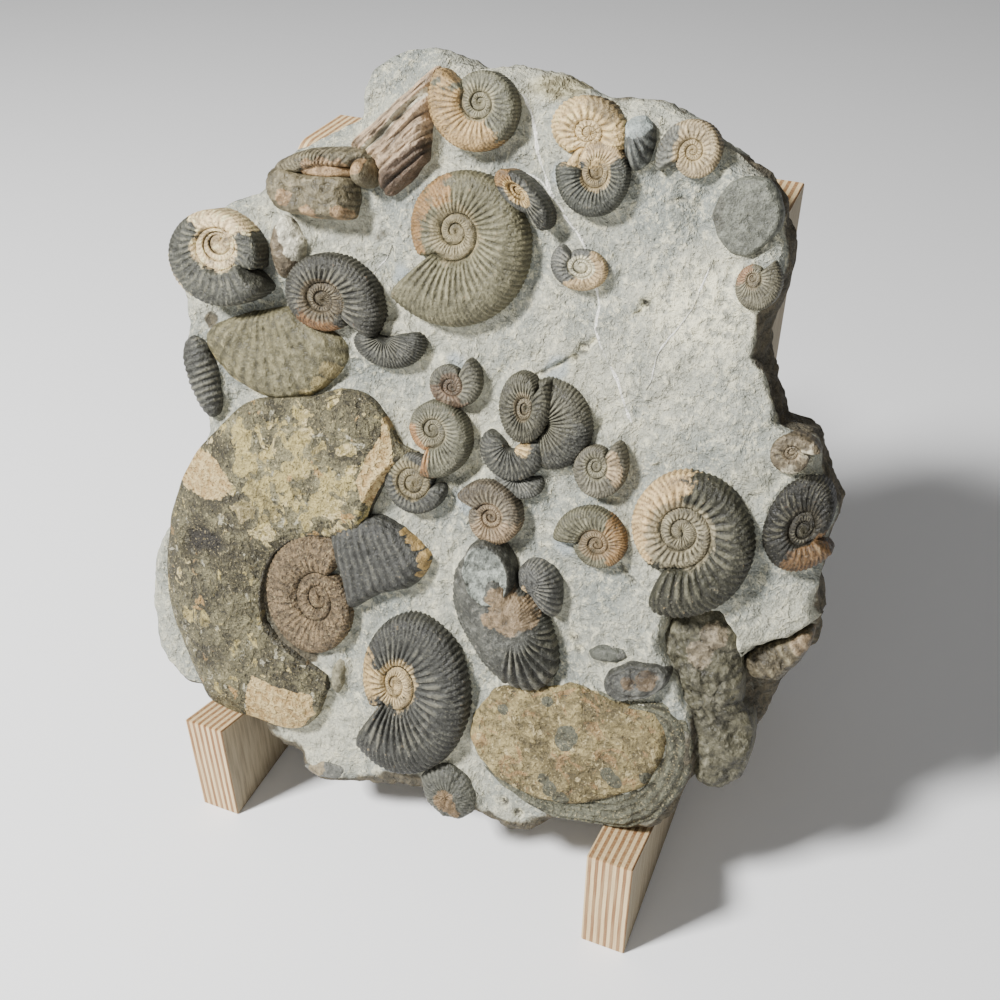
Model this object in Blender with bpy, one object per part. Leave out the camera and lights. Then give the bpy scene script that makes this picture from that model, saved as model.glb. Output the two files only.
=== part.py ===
"""Ammonite cluster plate: a slab of grey limestone full of ammonites, leaning on a plywood stand.

The slab has its own frame. u runs to the right along the slab, v runs up its leaning face from the
notch of the stand, and w is the height above the slab's flat back. Lengths are in millimetres here
and become metres in the meshes.
"""

import math

import bmesh
import bpy
from mathutils import Vector, geometry, noise

MM = 0.001
GAP = 0.3

# Stand
PLY = 18.0
PANEL_CENTRES = (-89.6, 89.6)
PANEL_DEPTH = 170.3
PANEL_HEIGHT = 257.0
FOOT_HEIGHT = 54.0
LEDGE_LENGTH = 63.7
LEAN = math.radians(18.0)
TOP_RADIUS = 11.0
TOP_STEPS = 5
RAIL_HEIGHT = 60.0
RAIL_INSET = 8.0

# Where the slab's frame sits: the corner of the notch, then half the object's depth and mid width
NOTCH_Y = LEDGE_LENGTH * math.cos(LEAN)
NOTCH_Z = FOOT_HEIGHT - LEDGE_LENGTH * math.sin(LEAN)
ORIGIN_X = 4.0
ORIGIN_Y = PANEL_DEPTH / 2

# Slab
FRONT = 43.0
EDGE_DROP = 6.0
MIDDLE = (0.0, 125.0)
RIM_SHARE = 0.975
FIELD_SHARE = 0.9
WAIST_SHARE = 0.98
BACK_SHARE = 0.93
WAIST = 13.0
LATTICE = 30.0
LATTICE_ROWS = 10
LATTICE_COLUMNS = 5
ROUGH = 0.8
EMBED = 3.0
CUT_TOP = 90.0

# Edge of the slab's front face, clockwise from the top left, in its u and v
SLAB_OUTLINE = [
    (-48, 250), (-49, 258), (-46, 266), (-37, 274), (-24, 277), (-7, 272), (7, 274), (26, 272),
    (36, 268.5), (59, 268), (72, 264), (81, 258), (94, 251), (100, 247), (104, 238), (108, 227),
    (107, 211), (104, 201), (104, 193), (108, 187), (113, 177), (117, 167), (128, 167), (132, 158),
    (141, 144), (139, 130), (139, 118), (143, 102), (141, 87), (134, 71), (130, 59), (127, 44),
    (121, 27), (113, 25), (109, 30), (108, 22), (104, 10), (98, 4), (92, 0.4), (79, 0.4), (73, -4),
    (61, -5), (49, -16), (41, -18), (25, -14), (14, -21), (3, -12), (-12, -15), (-31, -20),
    (-44, -25), (-53, -17), (-67, -11), (-78, 0.4), (-97, 0.4), (-115, 4), (-127, 9), (-134, 32),
    (-135, 44), (-132, 61), (-122, 80), (-116, 100), (-108, 117), (-104, 133), (-115, 148),
    (-119, 171), (-122, 187), (-115, 199), (-101, 209), (-88, 219), (-81, 230), (-68, 239),
    (-57, 246),
]
# Foot of the step down to the lower level at the bottom right
CLIFF = [(98, 0), (106, 30), (105, 48), (101, 60), (97, 78), (90, 94)]
LOWER_DROP = 15.0
RIGHT_SLOPE_FROM = 112.0
RIGHT_SLOPE = 0.3

# Heights of a fossil's rings: share of the way out to its edge, and share of its rise
COIL_RINGS = [(1.0, 0.55), (0.74, 1.0), (0.42, 0.6)]
COIL_EYE = 0.72
LARGE_RINGS = [(1.0, 0.55), (0.76, 1.0), (0.44, 0.62), (0.24, 0.74)]
LARGE_EYE = 0.6
SHELL_RINGS = [(1.0, 0.5), (0.72, 0.92)]
SHELL_EYE = 1.0
FLAT_RINGS = [(1.0, 0.7), (0.86, 1.0)]
FLAT_EYE = 0.95
RIB_SHARE = 0.035
VALLEY_SHARE = 0.06
INNER_COIL = 0.3
COARSE_EASE = 0.03
POCKET_EASE = 0.5

# Colours
STONE = (0.55, 0.56, 0.55)
OLIVE = (0.30, 0.27, 0.20)
CHARCOAL = (0.12, 0.12, 0.115)
TAN = (0.50, 0.37, 0.24)
BROWN = (0.27, 0.19, 0.13)
GREY = (0.24, 0.25, 0.26)
WOOD = (0.20, 0.13, 0.10)
BIRCH = (0.72, 0.62, 0.50)

# Coiled fossils, those underneath first: name, box (left, right, low, high), eye, angle of the
# aperture in degrees, turning sense towards it (1 is counterclockwise), growth over a whorl,
# steps round, rise above the slab, tilt (rise per millimetre to the right and up), colour
COILS = [
    ("golden_ammonite", (24, 49, 245, 267), (38, 256), 200, -1, 1.25, 22, 6, (0, 0), TAN),
    ("crescent_ammonite", (-41, -13, 165, 180), (-27, 174), 20, 1, 1.1, 14, 5, (0, 0), CHARCOAL),
    ("ribbed_arc_ammonite", (23, 53, 139, 171), (37, 156), 300, -1, 1.3, 22, 5, (0, 0), OLIVE),
    ("thin_crescent_ammonite", (19, 39, 127, 134.5), (29, 131), 10, 1, 1.1, 14, 5, (0, 0), GREY),
    ("blunt_dark_ammonite", (-24, 2, 111, 135), (-12, 122), 350, 1, 1.4, 22, 7, (0, 0), CHARCOAL),
    ("half_disc_ammonite", (33, 54, 84, 105), (42, 94), 200, 1, 1.3, 14, 7, (0, 0), GREY),
    ("large_ribbed_ammonite", (-30, 22, 184, 238), (-5, 217), 207, -1, 1.6, 40, 10, (0, 0), OLIVE),
    ("large_tan_ammonite", (73, 116, 97, 151), (91, 129), 255, -1, 1.4, 40, 8, (0, 0), TAN),
    ("right_edge_ammonite", (117, 142, 123, 158), (130, 140), 240, -1, 1.2, 22, 9, (0, 0), CHARCOAL),
    ("golden_spot_ammonite", (13, 38, 133, 153), (28, 147), 130, 1, 1.4, 14, 8, (0, 0), CHARCOAL),
    ("top_ribbed_ammonite", (-20, 12, 245, 272), (-1, 262), 130, -1, 1.3, 22, 9, (0, 0), BROWN),
    ("dark_grey_ammonite", (28, 53, 230, 253), (43, 245), 165, -1, 1.3, 22, 8, (0, 0), GREY),
    ("small_tan_ammonite", (61, 80, 248, 264), (73, 255), 150, 1, 1.3, 14, 5, (0, 0), TAN),
    ("tilted_small_ammonite", (9, 29, 223, 241), (18, 233), 220, -1, 1.2, 14, 13, (0, 0.3), TAN),
    ("split_grey_ammonite", (30, 50, 206, 220), (40, 213), 60, -1, 1.3, 14, 5, (0, 0), GREY),
    ("tilted_left_ammonite", (-120, -75, 176, 211), (-99, 196), 0, 1, 1.15, 22, 12, (0.1, -0.2),
     CHARCOAL),
    ("dark_left_ammonite", (-70, -31, 173, 202), (-54, 185), 320, -1, 1.35, 22, 9, (0, 0), CHARCOAL),
    ("edge_on_ammonite", (-117, -98, 128, 161), (-109, 145), 100, 1, 1.1, 14, 7, (0, 0), CHARCOAL),
    ("arm_ammonite", (-10, 10, 155, 175), (-1, 163), 70, 1, 1.4, 14, 5, (0, 0), GREY),
    ("olive_ammonite", (-15, 9, 127, 156), (-6, 145), 265, -1, 1.5, 22, 9, (0, 0), OLIVE),
    ("strong_ribbed_ammonite", (19, 38, 149, 174), (31, 160), 80, 1, 1.3, 22, 10, (0, 0), CHARCOAL),
    ("pink_patched_ammonite", (49, 68, 134, 157), (56, 146), 70, 1, 1.4, 14, 8, (0, 0), GREY),
    ("brown_topped_ammonite", (6, 32, 107, 131), (21, 119), 168, 1, 1.4, 22, 9, (0, 0), BROWN),
    ("orange_ammonite", (45, 72, 108, 130), (63, 118), 195, 1, 1.4, 22, 7, (0, 0), BROWN),
    ("large_dark_ammonite", (-28, 21, -2, 69), (-9, 38), 215, -1, 1.7, 40, 11, (0, 0), CHARCOAL),
    ("small_dark_shell", (64, 79, 71, 79), (71, 75), 0, 1, 1.1, 14, 4, (0, 0), CHARCOAL),
    ("bottom_edge_ammonite", (3, 29, -18, 8), (17, -7), 120, 1, 1.3, 14, 4, (0, 0), BROWN),
    ("fan_ammonite", (93.5, 104, 209, 223), (99, 217), 300, -1, 1.3, 14, 4, (0, 0), BROWN),
    ("right_coil_ammonite", (117, 131, 155, 168), (124, 162), 90, 1, 1.2, 14, 5, (0, 0), BROWN),
]
# Other fossils, those underneath first: name, outline, centre, rings, eye, rise, steps, ribs, colour
SHELLS = [
    ("grey_flat_shell",
     [(80, 228), (83, 240), (89, 247), (97, 250), (102, 243), (105, 232), (105, 226), (97, 228),
      (88, 226)],
     (93, 237), FLAT_RINGS, FLAT_EYE, 2.5, 14, 0, GREY),
    ("lower_shell_mass",
     [(90, 90), (101, 94), (115, 90), (125, 81), (127, 67), (125, 50), (120, 33), (113, 28),
      (109, 36), (105, 50), (101, 68)],
     (112, 66), SHELL_RINGS, SHELL_EYE, 9, 16, 0, BROWN),
    ("brown_ledge",
     [(139, 97), (141, 92), (139, 84), (136, 79), (130, 73), (128, 78), (130, 86), (134, 93)],
     (134, 85), FLAT_RINGS, FLAT_EYE, 5, 12, 0, BROWN),
    ("flat_brown_ammonite",
     [(21, 31), (23, 39), (29, 46), (33, 51), (48, 53), (57, 61), (70, 57), (85, 56), (97, 56),
      (101, 43), (97, 31), (90, 21), (80, 13), (70, 8), (58, 4), (45, 3), (33, 4), (27, 16)],
     (60, 31), FLAT_RINGS, FLAT_EYE, 4, 22, 0, TAN),
    ("brown_shell_lump",
     [(71, 60), (76, 58), (88, 59), (97, 66), (97, 71), (88, 72), (78, 68)],
     (85, 65), SHELL_RINGS, SHELL_EYE, 8, 14, 0, BROWN),
    ("smooth_shell_fragment",
     [(-108, 166), (-110, 159), (-106, 153), (-98, 147), (-88, 143), (-68, 142), (-58, 145),
      (-45, 156), (-43, 163), (-45, 169), (-53, 173), (-70, 177), (-78, 181), (-90, 179),
      (-98, 173)],
     (-77, 161), SHELL_RINGS, SHELL_EYE, 7, 18, 0, OLIVE),
    ("giant_ammonite",
     [(-120, 61), (-119, 81), (-114, 100), (-106, 116), (-99, 124), (-88, 137), (-82, 141),
      (-57, 145), (-47, 152), (-39, 153), (-32, 151), (-27, 147), (-19, 135), (-22, 127),
      (-24, 117), (-27, 108), (-33, 93), (-34, 73), (-34, 58), (-37, 46), (-43, 24), (-47, 10),
      (-57, 0), (-68, 1.5), (-97, 1.5), (-102, 12), (-108, 22), (-114, 34), (-119, 48)],
     (-47, 67), LARGE_RINGS, LARGE_EYE, 10, 36, 0, OLIVE),
    ("inner_dark_ammonite",
     [(-43, 91), (-37, 100), (-28, 107), (-20, 107), (-13, 105), (-6, 99), (-1, 93), (-3, 87),
      (-10, 82), (-18, 78), (-28, 70), (-35, 66), (-40, 78)],
     (-25, 90), SHELL_RINGS, SHELL_EYE, 9, 20, 1, CHARCOAL),
    ("fossil_wood",
     [(-16, 273), (-27, 265), (-35, 258), (-48, 243), (-50, 240), (-38, 239), (-36, 226),
      (-29, 229), (-21, 238), (-19, 250), (-18, 266)],
     (-30, 246), SHELL_RINGS, SHELL_EYE, 9, 18, 1, WOOD),
    ("thick_oblique_ammonite",
     [(-81, 231), (-76, 219), (-66, 214), (-44, 214), (-42, 227), (-35, 231), (-35, 237),
      (-40, 240), (-52, 240), (-70, 235)],
     (-57, 227), SHELL_RINGS, SHELL_EYE, 13, 18, 1, BROWN),
    ("brown_shell_fragment",
     [(-79, 213), (-79, 202), (-75, 191), (-71, 196), (-66, 203), (-71, 213)],
     (-74, 203), FLAT_RINGS, FLAT_EYE, 4, 10, 0, BROWN),
    ("standing_dark_ammonite",
     [(10, 92), (13, 80), (21, 68), (31, 58), (43, 55), (52, 62), (55, 75), (52, 84), (47, 92),
      (41, 95), (33, 104), (23, 108), (14, 104)],
     (34, 81), SHELL_RINGS, SHELL_EYE, 15, 28, 1, CHARCOAL),
    ("bluish_shell_fragment",
     [(54, 247), (59, 250), (59, 259), (56, 264), (52, 261), (50, 255), (54, 252)],
     (55.5, 256), SHELL_RINGS, SHELL_EYE, 5, 10, 0, GREY),
    ("bottom_edge_shell",
     [(-52, -17), (-44, -20), (-34, -18), (-31, -12), (-42, -11)],
     (-41, -15), SHELL_RINGS, SHELL_EYE, 3, 10, 0, GREY),
    ("small_olive_shell",
     [(-41, 25), (-38, 22), (-35, 28), (-35, 38), (-38, 40), (-41, 34)],
     (-38, 31), SHELL_RINGS, SHELL_EYE, 4, 10, 0, OLIVE),
]
# Which fossils lie over which, lowest first; the rest stand alone
STACK = [
    "lower_shell_mass", "brown_ledge", "grey_flat_shell", "flat_brown_ammonite",
    "giant_ammonite", "smooth_shell_fragment", "inner_dark_ammonite", "fossil_wood",
    "golden_ammonite", "crescent_ammonite", "thin_crescent_ammonite", "ribbed_arc_ammonite",
    "golden_spot_ammonite", "blunt_dark_ammonite", "half_disc_ammonite",
]


def clear_scene():
    """Remove the objects of the new file."""
    for thing in list(bpy.data.objects):
        bpy.data.objects.remove(thing)


def new_collection(name):
    """A collection in the scene."""
    made = bpy.data.collections.new(name)
    bpy.context.scene.collection.children.link(made)
    return made


def plain_material(name, colour, roughness=0.8):
    """A Principled material of one colour."""
    material = bpy.data.materials.new(name)
    material.use_nodes = True
    shader = material.node_tree.nodes["Principled BSDF"]
    shader.inputs["Base Color"].default_value = (*colour, 1.0)
    shader.inputs["Roughness"].default_value = roughness
    shader.inputs["Metallic"].default_value = 0.0
    return material


def stand_point(x, y, z):
    """A point of the stand's frame, whose y is 0 at the feet's front faces, in metres."""
    return Vector(((x - ORIGIN_X) * MM, (y - ORIGIN_Y) * MM, z * MM))


def profile_point(y, z, x):
    """A point of a panel's side view, carried across to x, in metres."""
    return stand_point(x, y, z)


def slab_point(u, v, w):
    """A point of the slab's frame, in metres."""
    y = NOTCH_Y + v * math.sin(LEAN) - w * math.cos(LEAN)
    z = NOTCH_Z + v * math.cos(LEAN) + w * math.sin(LEAN)
    return stand_point(u, y, z)


def add_object(name, bm, collection, colour, roughness=0.8):
    """Turn a bmesh into a named object with its own material."""
    bmesh.ops.recalc_face_normals(bm, faces=bm.faces)
    mesh = bpy.data.meshes.new(name)
    bm.to_mesh(mesh)
    bm.free()
    thing = bpy.data.objects.new(name, mesh)
    collection.objects.link(thing)
    mesh.materials.append(plain_material(name, colour, roughness))
    return thing


def add_cutter(name, bm, collection):
    """Turn a bmesh into a cutter, drawn as wires only."""
    thing = add_object(name, bm, collection, GREY)
    thing.hide_render = True
    thing.display_type = "WIRE"
    return thing


def cut_with(thing, cutter):
    """Take a cutter's shape out of an object."""
    cut = thing.modifiers.new(cutter.name, "BOOLEAN")
    cut.operation = "DIFFERENCE"
    cut.solver = "EXACT"
    cut.object = cutter


def prism(points, place, low, high):
    """A closed prism on an outline, between two heights of the frame that place uses."""
    bm = bmesh.new()
    foot = bm.faces.new([bm.verts.new(place(a, b, low)) for a, b in points])
    grown = bmesh.ops.extrude_face_region(bm, geom=[foot])
    for vert, (a, b) in zip((v for v in grown["geom"] if isinstance(v, bmesh.types.BMVert)), points):
        vert.co += place(a, b, high) - place(a, b, low)
    return bm


def panel_profile():
    """Side view of a plywood panel, as y and z of the stand's frame."""
    run = PANEL_HEIGHT - NOTCH_Z
    top_front = NOTCH_Y + run * math.tan(LEAN)
    turn = math.pi / 2 - LEAN
    reach = TOP_RADIUS * math.tan(turn / 2)
    centre = (top_front + reach, PANEL_HEIGHT - TOP_RADIUS)
    arc = []
    for step in range(TOP_STEPS + 1):
        angle = math.pi - LEAN - turn * step / TOP_STEPS
        arc.append((centre[0] + TOP_RADIUS * math.cos(angle), centre[1] + TOP_RADIUS * math.sin(angle)))
    feet = [(0, 0), (0, FOOT_HEIGHT), (NOTCH_Y, NOTCH_Z)]
    return feet + arc + [(PANEL_DEPTH, PANEL_HEIGHT), (PANEL_DEPTH, 0)]


def make_panels(parts):
    """The two plywood panels."""
    for side, centre in zip(("left", "right"), PANEL_CENTRES):
        bm = prism(panel_profile(), profile_point, centre - PLY / 2, centre + PLY / 2)
        add_object(f"plywood_panel_{side}", bm, parts, BIRCH, 0.65)


def make_rail(parts):
    """The hidden rail that ties the panels together low at the back."""
    left = PANEL_CENTRES[0] + PLY / 2 + GAP
    right = PANEL_CENTRES[1] - PLY / 2 - GAP
    back = PANEL_DEPTH - RAIL_INSET
    outline = [(left, back - PLY), (right, back - PLY), (right, back), (left, back)]
    bm = prism(outline, stand_point, 0, RAIL_HEIGHT)
    add_object("cross_rail", bm, parts, BIRCH, 0.65)


def cliff_reach(v):
    """How far right the slab's upper level goes at a height v."""
    for (u0, v0), (u1, v1) in zip(CLIFF, CLIFF[1:]):
        if v0 <= v <= v1:
            return u0 + (u1 - u0) * (v - v0) / (v1 - v0)
    return math.inf


def front_level(u, v):
    """Height of the slab's front face, without its roughness."""
    level = FRONT - max(0.0, u - RIGHT_SLOPE_FROM) * RIGHT_SLOPE
    if u > cliff_reach(v):
        level -= LOWER_DROP
    return level


def rough_level(u, v):
    """Height of the slab's front face with its roughness."""
    return front_level(u, v) + ROUGH * noise.noise(Vector((u / 21, v / 21, 0.5)))


def drawn_in(points, share):
    """An outline drawn in towards the slab's middle."""
    return [(MIDDLE[0] + (u - MIDDLE[0]) * share, MIDDLE[1] + (v - MIDDLE[1]) * share)
            for u, v in points]


def make_slab(parts):
    """The limestone slab: rings of its broken sides, a flat back and a rough front face."""
    bm = bmesh.new()
    rings = [
        [(u, v, GAP) for u, v in drawn_in(SLAB_OUTLINE, BACK_SHARE)],
        [(u, v, WAIST) for u, v in drawn_in(SLAB_OUTLINE, WAIST_SHARE)],
        [(u, v, front_level(u, v) - EDGE_DROP) for u, v in SLAB_OUTLINE],
    ]
    rim = drawn_in(SLAB_OUTLINE, RIM_SHARE)
    field = list(rim)
    for row in range(LATTICE_ROWS):
        for column in range(-LATTICE_COLUMNS, LATTICE_COLUMNS + 1):
            u = (column + 0.5 * (row % 2)) * LATTICE
            v = row * LATTICE
            if inside(u, v, drawn_in(SLAB_OUTLINE, FIELD_SHARE)):
                field.append((u, v))
    loops = [[bm.verts.new(slab_point(*point)) for point in ring] for ring in rings]
    spots, _, faces, _, _, _ = geometry.delaunay_2d_cdt(
        [Vector(p) for p in field], [], [list(range(len(rim)))], 1, 1e-5)
    top = [bm.verts.new(slab_point(u, v, rough_level(u, v))) for u, v in spots]
    loops.append(top[:len(rim)])
    for face in faces:
        bm.faces.new([top[i] for i in face])
    bm.faces.new(loops[0])
    count = len(SLAB_OUTLINE)
    for low, high in zip(loops, loops[1:]):
        for i in range(count):
            j = (i + 1) % count
            bm.faces.new((low[i], low[j], high[j], high[i]))
    return add_object("limestone_slab", bm, parts, STONE, 0.9)


def inside(u, v, outline):
    """Whether a point lies in an outline."""
    found = False
    for (u0, v0), (u1, v1) in zip(outline, outline[1:] + outline[:1]):
        if (v0 > v) != (v1 > v) and u < (u1 - u0) * (v - v0) / (v1 - v0) + u0:
            found = not found
    return found


def spiral_outline(box, eye, aperture, sense, growth, steps):
    """The last whorl's edge: a logarithmic spiral fitted to its box, counterclockwise."""
    unit = []
    for step in range(steps):
        back = step / steps
        angle = math.radians(aperture) - sense * 2 * math.pi * back
        radius = growth ** -back
        unit.append((radius * math.cos(angle), radius * math.sin(angle)))
    left, right = min(p[0] for p in unit), max(p[0] for p in unit)
    low, high = min(p[1] for p in unit), max(p[1] for p in unit)
    fitted = []
    for a, b in unit:
        u = box[0] + (box[1] - box[0]) * (a - left) / (right - left)
        v = box[2] + (box[3] - box[2]) * (b - low) / (high - low)
        fitted.append((u, v))
    return fitted if sense < 0 else fitted[:1] + fitted[:0:-1]


def reach_to(outline, centre, angle):
    """Distance from a centre to an outline in one direction."""
    way = Vector((math.cos(angle), math.sin(angle)))
    far = 0.0
    for a, b in zip(outline, outline[1:] + outline[:1]):
        start = Vector(a) - Vector(centre)
        edge = Vector(b) - Vector(a)
        cross = way.x * edge.y - way.y * edge.x
        if abs(cross) < 1e-9:
            continue
        distance = (start.x * edge.y - start.y * edge.x) / cross
        share = (start.x * way.y - start.y * way.x) / cross
        if 0 <= share <= 1 and distance > far:
            far = distance
    return far


def radial_outline(outline, centre, steps):
    """An outline resampled at even angles round a centre."""
    points = []
    for step in range(steps):
        angle = 2 * math.pi * step / steps
        reach = reach_to(outline, centre, angle)
        points.append((centre[0] + reach * math.cos(angle), centre[1] + reach * math.sin(angle)))
    return points


def ribbed(points, centre, ribs):
    """Draw every second point of an outline in, between two ribs."""
    drawn = []
    for i, (u, v) in enumerate(points):
        share = 1 - RIB_SHARE if ribs and i % 2 else 1.0
        drawn.append((centre[0] + (u - centre[0]) * share, centre[1] + (v - centre[1]) * share))
    return drawn


def fossil_mesh(points, centre, rings, eye, rise, tilt, ribs):
    """A fossil as rings from its buried foot up its edge and in to its eye."""
    level = front_level(*centre)
    foot = level - EMBED
    outline = ribbed(points, centre, ribs)
    bm = bmesh.new()
    loops = [[bm.verts.new(slab_point(u, v, foot)) for u, v in outline]]
    for share, height in rings:
        loop = []
        for i, (u, v) in enumerate(outline):
            du, dv = (u - centre[0]) * share, (v - centre[1]) * share
            valley = VALLEY_SHARE * rise if ribs and i % 2 and share > INNER_COIL else 0.0
            w = level + rise * height - valley + tilt[0] * du + tilt[1] * dv
            loop.append(bm.verts.new(slab_point(centre[0] + du, centre[1] + dv, w)))
        loops.append(loop)
    tip = bm.verts.new(slab_point(*centre, level + rise * eye))
    bm.faces.new(loops[0])
    for low, high in zip(loops, loops[1:]):
        for i in range(len(outline)):
            j = (i + 1) % len(outline)
            bm.faces.new((low[i], low[j], high[j], high[i]))
    for i in range(len(outline)):
        bm.faces.new((loops[-1][i], loops[-1][(i + 1) % len(outline)], tip))
    return bm


def pocket_mesh(points, centre, coarse):
    """The space a fossil takes, a gap wider all round, open upwards."""
    wide = []
    ease = COARSE_EASE if coarse else 0.0
    for u, v in points[::2 if coarse else 1]:
        out = Vector((u - centre[0], v - centre[1]))
        out *= 1 + ease + POCKET_EASE / out.length
        wide.append((centre[0] + out.x, centre[1] + out.y))
    foot = front_level(*centre) - EMBED - GAP
    return prism(wide, slab_point, foot, CUT_TOP)


def make_fossils(parts, cutters):
    """Every fossil with its pocket cutter, as name to (object, cutter)."""
    made = {}
    for name, box, eye, aperture, sense, growth, steps, rise, tilt, colour in COILS:
        points = spiral_outline(box, eye, aperture, sense, growth, steps)
        rings, middle = (LARGE_RINGS, LARGE_EYE) if steps >= 40 else (COIL_RINGS, COIL_EYE)
        bm = fossil_mesh(points, eye, rings, middle, rise, tilt, True)
        cutter = add_cutter(f"pocket_{name}", pocket_mesh(points, eye, steps > 20), cutters)
        made[name] = (add_object(name, bm, parts, colour, 0.6), cutter)
    for name, outline, centre, rings, eye, rise, steps, ribs, colour in SHELLS:
        points = radial_outline(outline, centre, steps)
        bm = fossil_mesh(points, centre, rings, eye, rise, (0, 0), ribs)
        cutter = add_cutter(f"pocket_{name}", pocket_mesh(points, centre, False), cutters)
        made[name] = (add_object(name, bm, parts, colour, 0.6), cutter)
    return made


def boxes_meet(one, other):
    """Whether two objects' bounds overlap."""
    for axis in range(3):
        a = [corner[axis] for corner in one.bound_box]
        b = [corner[axis] for corner in other.bound_box]
        if max(a) < min(b) or max(b) < min(a):
            return False
    return True


def cut_pockets(slab, fossils, cutters):
    """Cut each fossil's pocket in the slab and in the fossils that it lies over."""
    cut = slab.modifiers.new("pockets", "BOOLEAN")
    cut.operation = "DIFFERENCE"
    cut.solver = "EXACT"
    cut.operand_type = "COLLECTION"
    cut.collection = cutters
    order = STACK + [name for name in fossils if name not in STACK]
    for place, name in enumerate(order):
        cutter = fossils[name][1]
        for under in order[:place]:
            if boxes_meet(fossils[under][0], cutter):
                cut_with(fossils[under][0], cutter)


def main():
    """Build the whole object."""
    clear_scene()
    parts = new_collection("ammonite_cluster_plate")
    cutters = new_collection("cutters")
    make_panels(parts)
    make_rail(parts)
    slab = make_slab(parts)
    fossils = make_fossils(parts, cutters)
    cut_pockets(slab, fossils, cutters)


main()
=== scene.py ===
"""Ammonite cluster plate: looks of the limestone slab, its fossils and the plywood stand.

Lengths are in millimetres. The slab has its own frame: u to the right along its face, v up its
leaning face from the notch of the stand, and w the height above its flat back.
"""

import math

import bmesh
import bpy
import numpy as np
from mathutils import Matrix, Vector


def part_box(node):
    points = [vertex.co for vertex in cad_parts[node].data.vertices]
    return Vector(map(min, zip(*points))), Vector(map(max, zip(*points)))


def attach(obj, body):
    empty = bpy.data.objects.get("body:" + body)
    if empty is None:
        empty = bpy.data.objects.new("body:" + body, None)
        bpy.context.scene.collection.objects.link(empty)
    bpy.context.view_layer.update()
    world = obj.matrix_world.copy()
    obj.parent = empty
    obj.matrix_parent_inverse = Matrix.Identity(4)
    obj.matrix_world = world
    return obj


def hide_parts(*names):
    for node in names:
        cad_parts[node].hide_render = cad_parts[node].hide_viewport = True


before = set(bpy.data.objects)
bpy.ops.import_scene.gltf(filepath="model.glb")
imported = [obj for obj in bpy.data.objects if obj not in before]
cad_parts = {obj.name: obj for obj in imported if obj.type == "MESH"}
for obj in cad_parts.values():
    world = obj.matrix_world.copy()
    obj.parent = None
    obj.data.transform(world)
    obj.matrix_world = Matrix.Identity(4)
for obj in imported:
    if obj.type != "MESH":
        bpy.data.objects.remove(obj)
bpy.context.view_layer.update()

MM = 0.001
TAU = 2 * math.pi

# Stand: thickness, plies and softened edges of its boards, profile of its panels, place in the frame
PLY = 18.0
PLIES = 13
PLY_EDGE = 0.35
LEAN = math.radians(18.0)
FOOT_HEIGHT = 54.0
LEDGE_LENGTH = 63.7
TOP_RADIUS = 11.0
NOTCH_Y = LEDGE_LENGTH * math.cos(LEAN)
NOTCH_Z = FOOT_HEIGHT - LEDGE_LENGTH * math.sin(LEAN)
left_low, left_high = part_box("plywood_panel_left")
right_low, right_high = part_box("plywood_panel_right")
ORIGIN_X = -(left_low.x + right_high.x) / 2 / MM
ORIGIN_Y = -left_low.y / MM
PANEL_DEPTH = (left_high.y - left_low.y) / MM
PANEL_HEIGHT = left_high.z / MM

# Slab: height of its front, drop at its rim, middle and outline
FRONT = 43.0
EDGE_DROP = 6.0
MIDDLE = (0.0, 125.0)
SLAB_OUTLINE = [
    (-48, 250), (-49, 258), (-46, 266), (-37, 274), (-24, 277), (-7, 272), (7, 274), (26, 272),
    (36, 268.5), (59, 268), (72, 264), (81, 258), (94, 251), (100, 247), (104, 238), (108, 227),
    (107, 211), (104, 201), (104, 193), (108, 187), (113, 177), (116, 171), (129, 170), (133, 159),
    (141, 144), (139, 130), (139, 118), (143, 102), (141, 87), (134, 71), (130, 59), (127, 44),
    (121, 27), (113, 25), (109, 30), (108, 22), (104, 10), (98, 4), (92, 0.4), (79, 0.4), (73, -4),
    (61, -5), (49, -16), (41, -18), (25, -14), (14, -21), (3, -12), (-12, -15), (-31, -20),
    (-44, -25), (-53, -17), (-67, -11), (-78, 0.4), (-97, 0.4), (-115, 4), (-127, 9), (-134, 32),
    (-135, 44), (-132, 61), (-122, 80), (-116, 100), (-109, 117), (-107.5, 133), (-117, 148),
    (-120, 171), (-123.5, 187), (-119, 201), (-105, 211.5), (-88, 219), (-81, 230), (-68, 239),
    (-57, 246),
]

# Lower level at the bottom right, and the slope of the front towards the right edge
LOWER = [
    (89.5, 92), (88.3, 83), (95, 73.6), (102, 62), (107, 51), (109.8, 35), (108, 26), (112, 10),
    (140, 12), (165, 78), (155, 103), (142, 104), (132.7, 95), (123, 89.4), (118.7, 84), (116.7, 91),
    (109.7, 101), (101, 99),
]
LOWER_DROP = 15.0
RIGHT_SLOPE_FROM = 112.0
RIGHT_SLOPE = 0.3

# Slab mesh: points round it, rings of its front, rows of its side and rings of its back
SLAB_ANGLES = 720
SLAB_RINGS = 104
SIDE_ROWS = 18
BACK_ROWS = 7
BACK_LEVEL = 0.3
BACK_SHARE = 0.93
SIDE_DRAFT = 0.07

# Where the slab's lower edge rests on the panels' ledges: either side of the middle
LEDGE_MIDDLE = 90.0
LEDGE_HALF = 13.0
LEDGE_GAP = 0.4

# How deep a fossil's foot goes into the slab, and deeper where it overhangs the slab's rim
FOOT = 3.0
DEEP_FOOT = 10.0

NO_TRIANGLES = np.zeros((0, 3), int)


def smooth(low, high, value):
    """Smooth step from 0 at low to 1 at high."""
    t = np.clip((value - low) / (high - low), 0.0, 1.0)
    return t * t * (3 - 2 * t)


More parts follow.
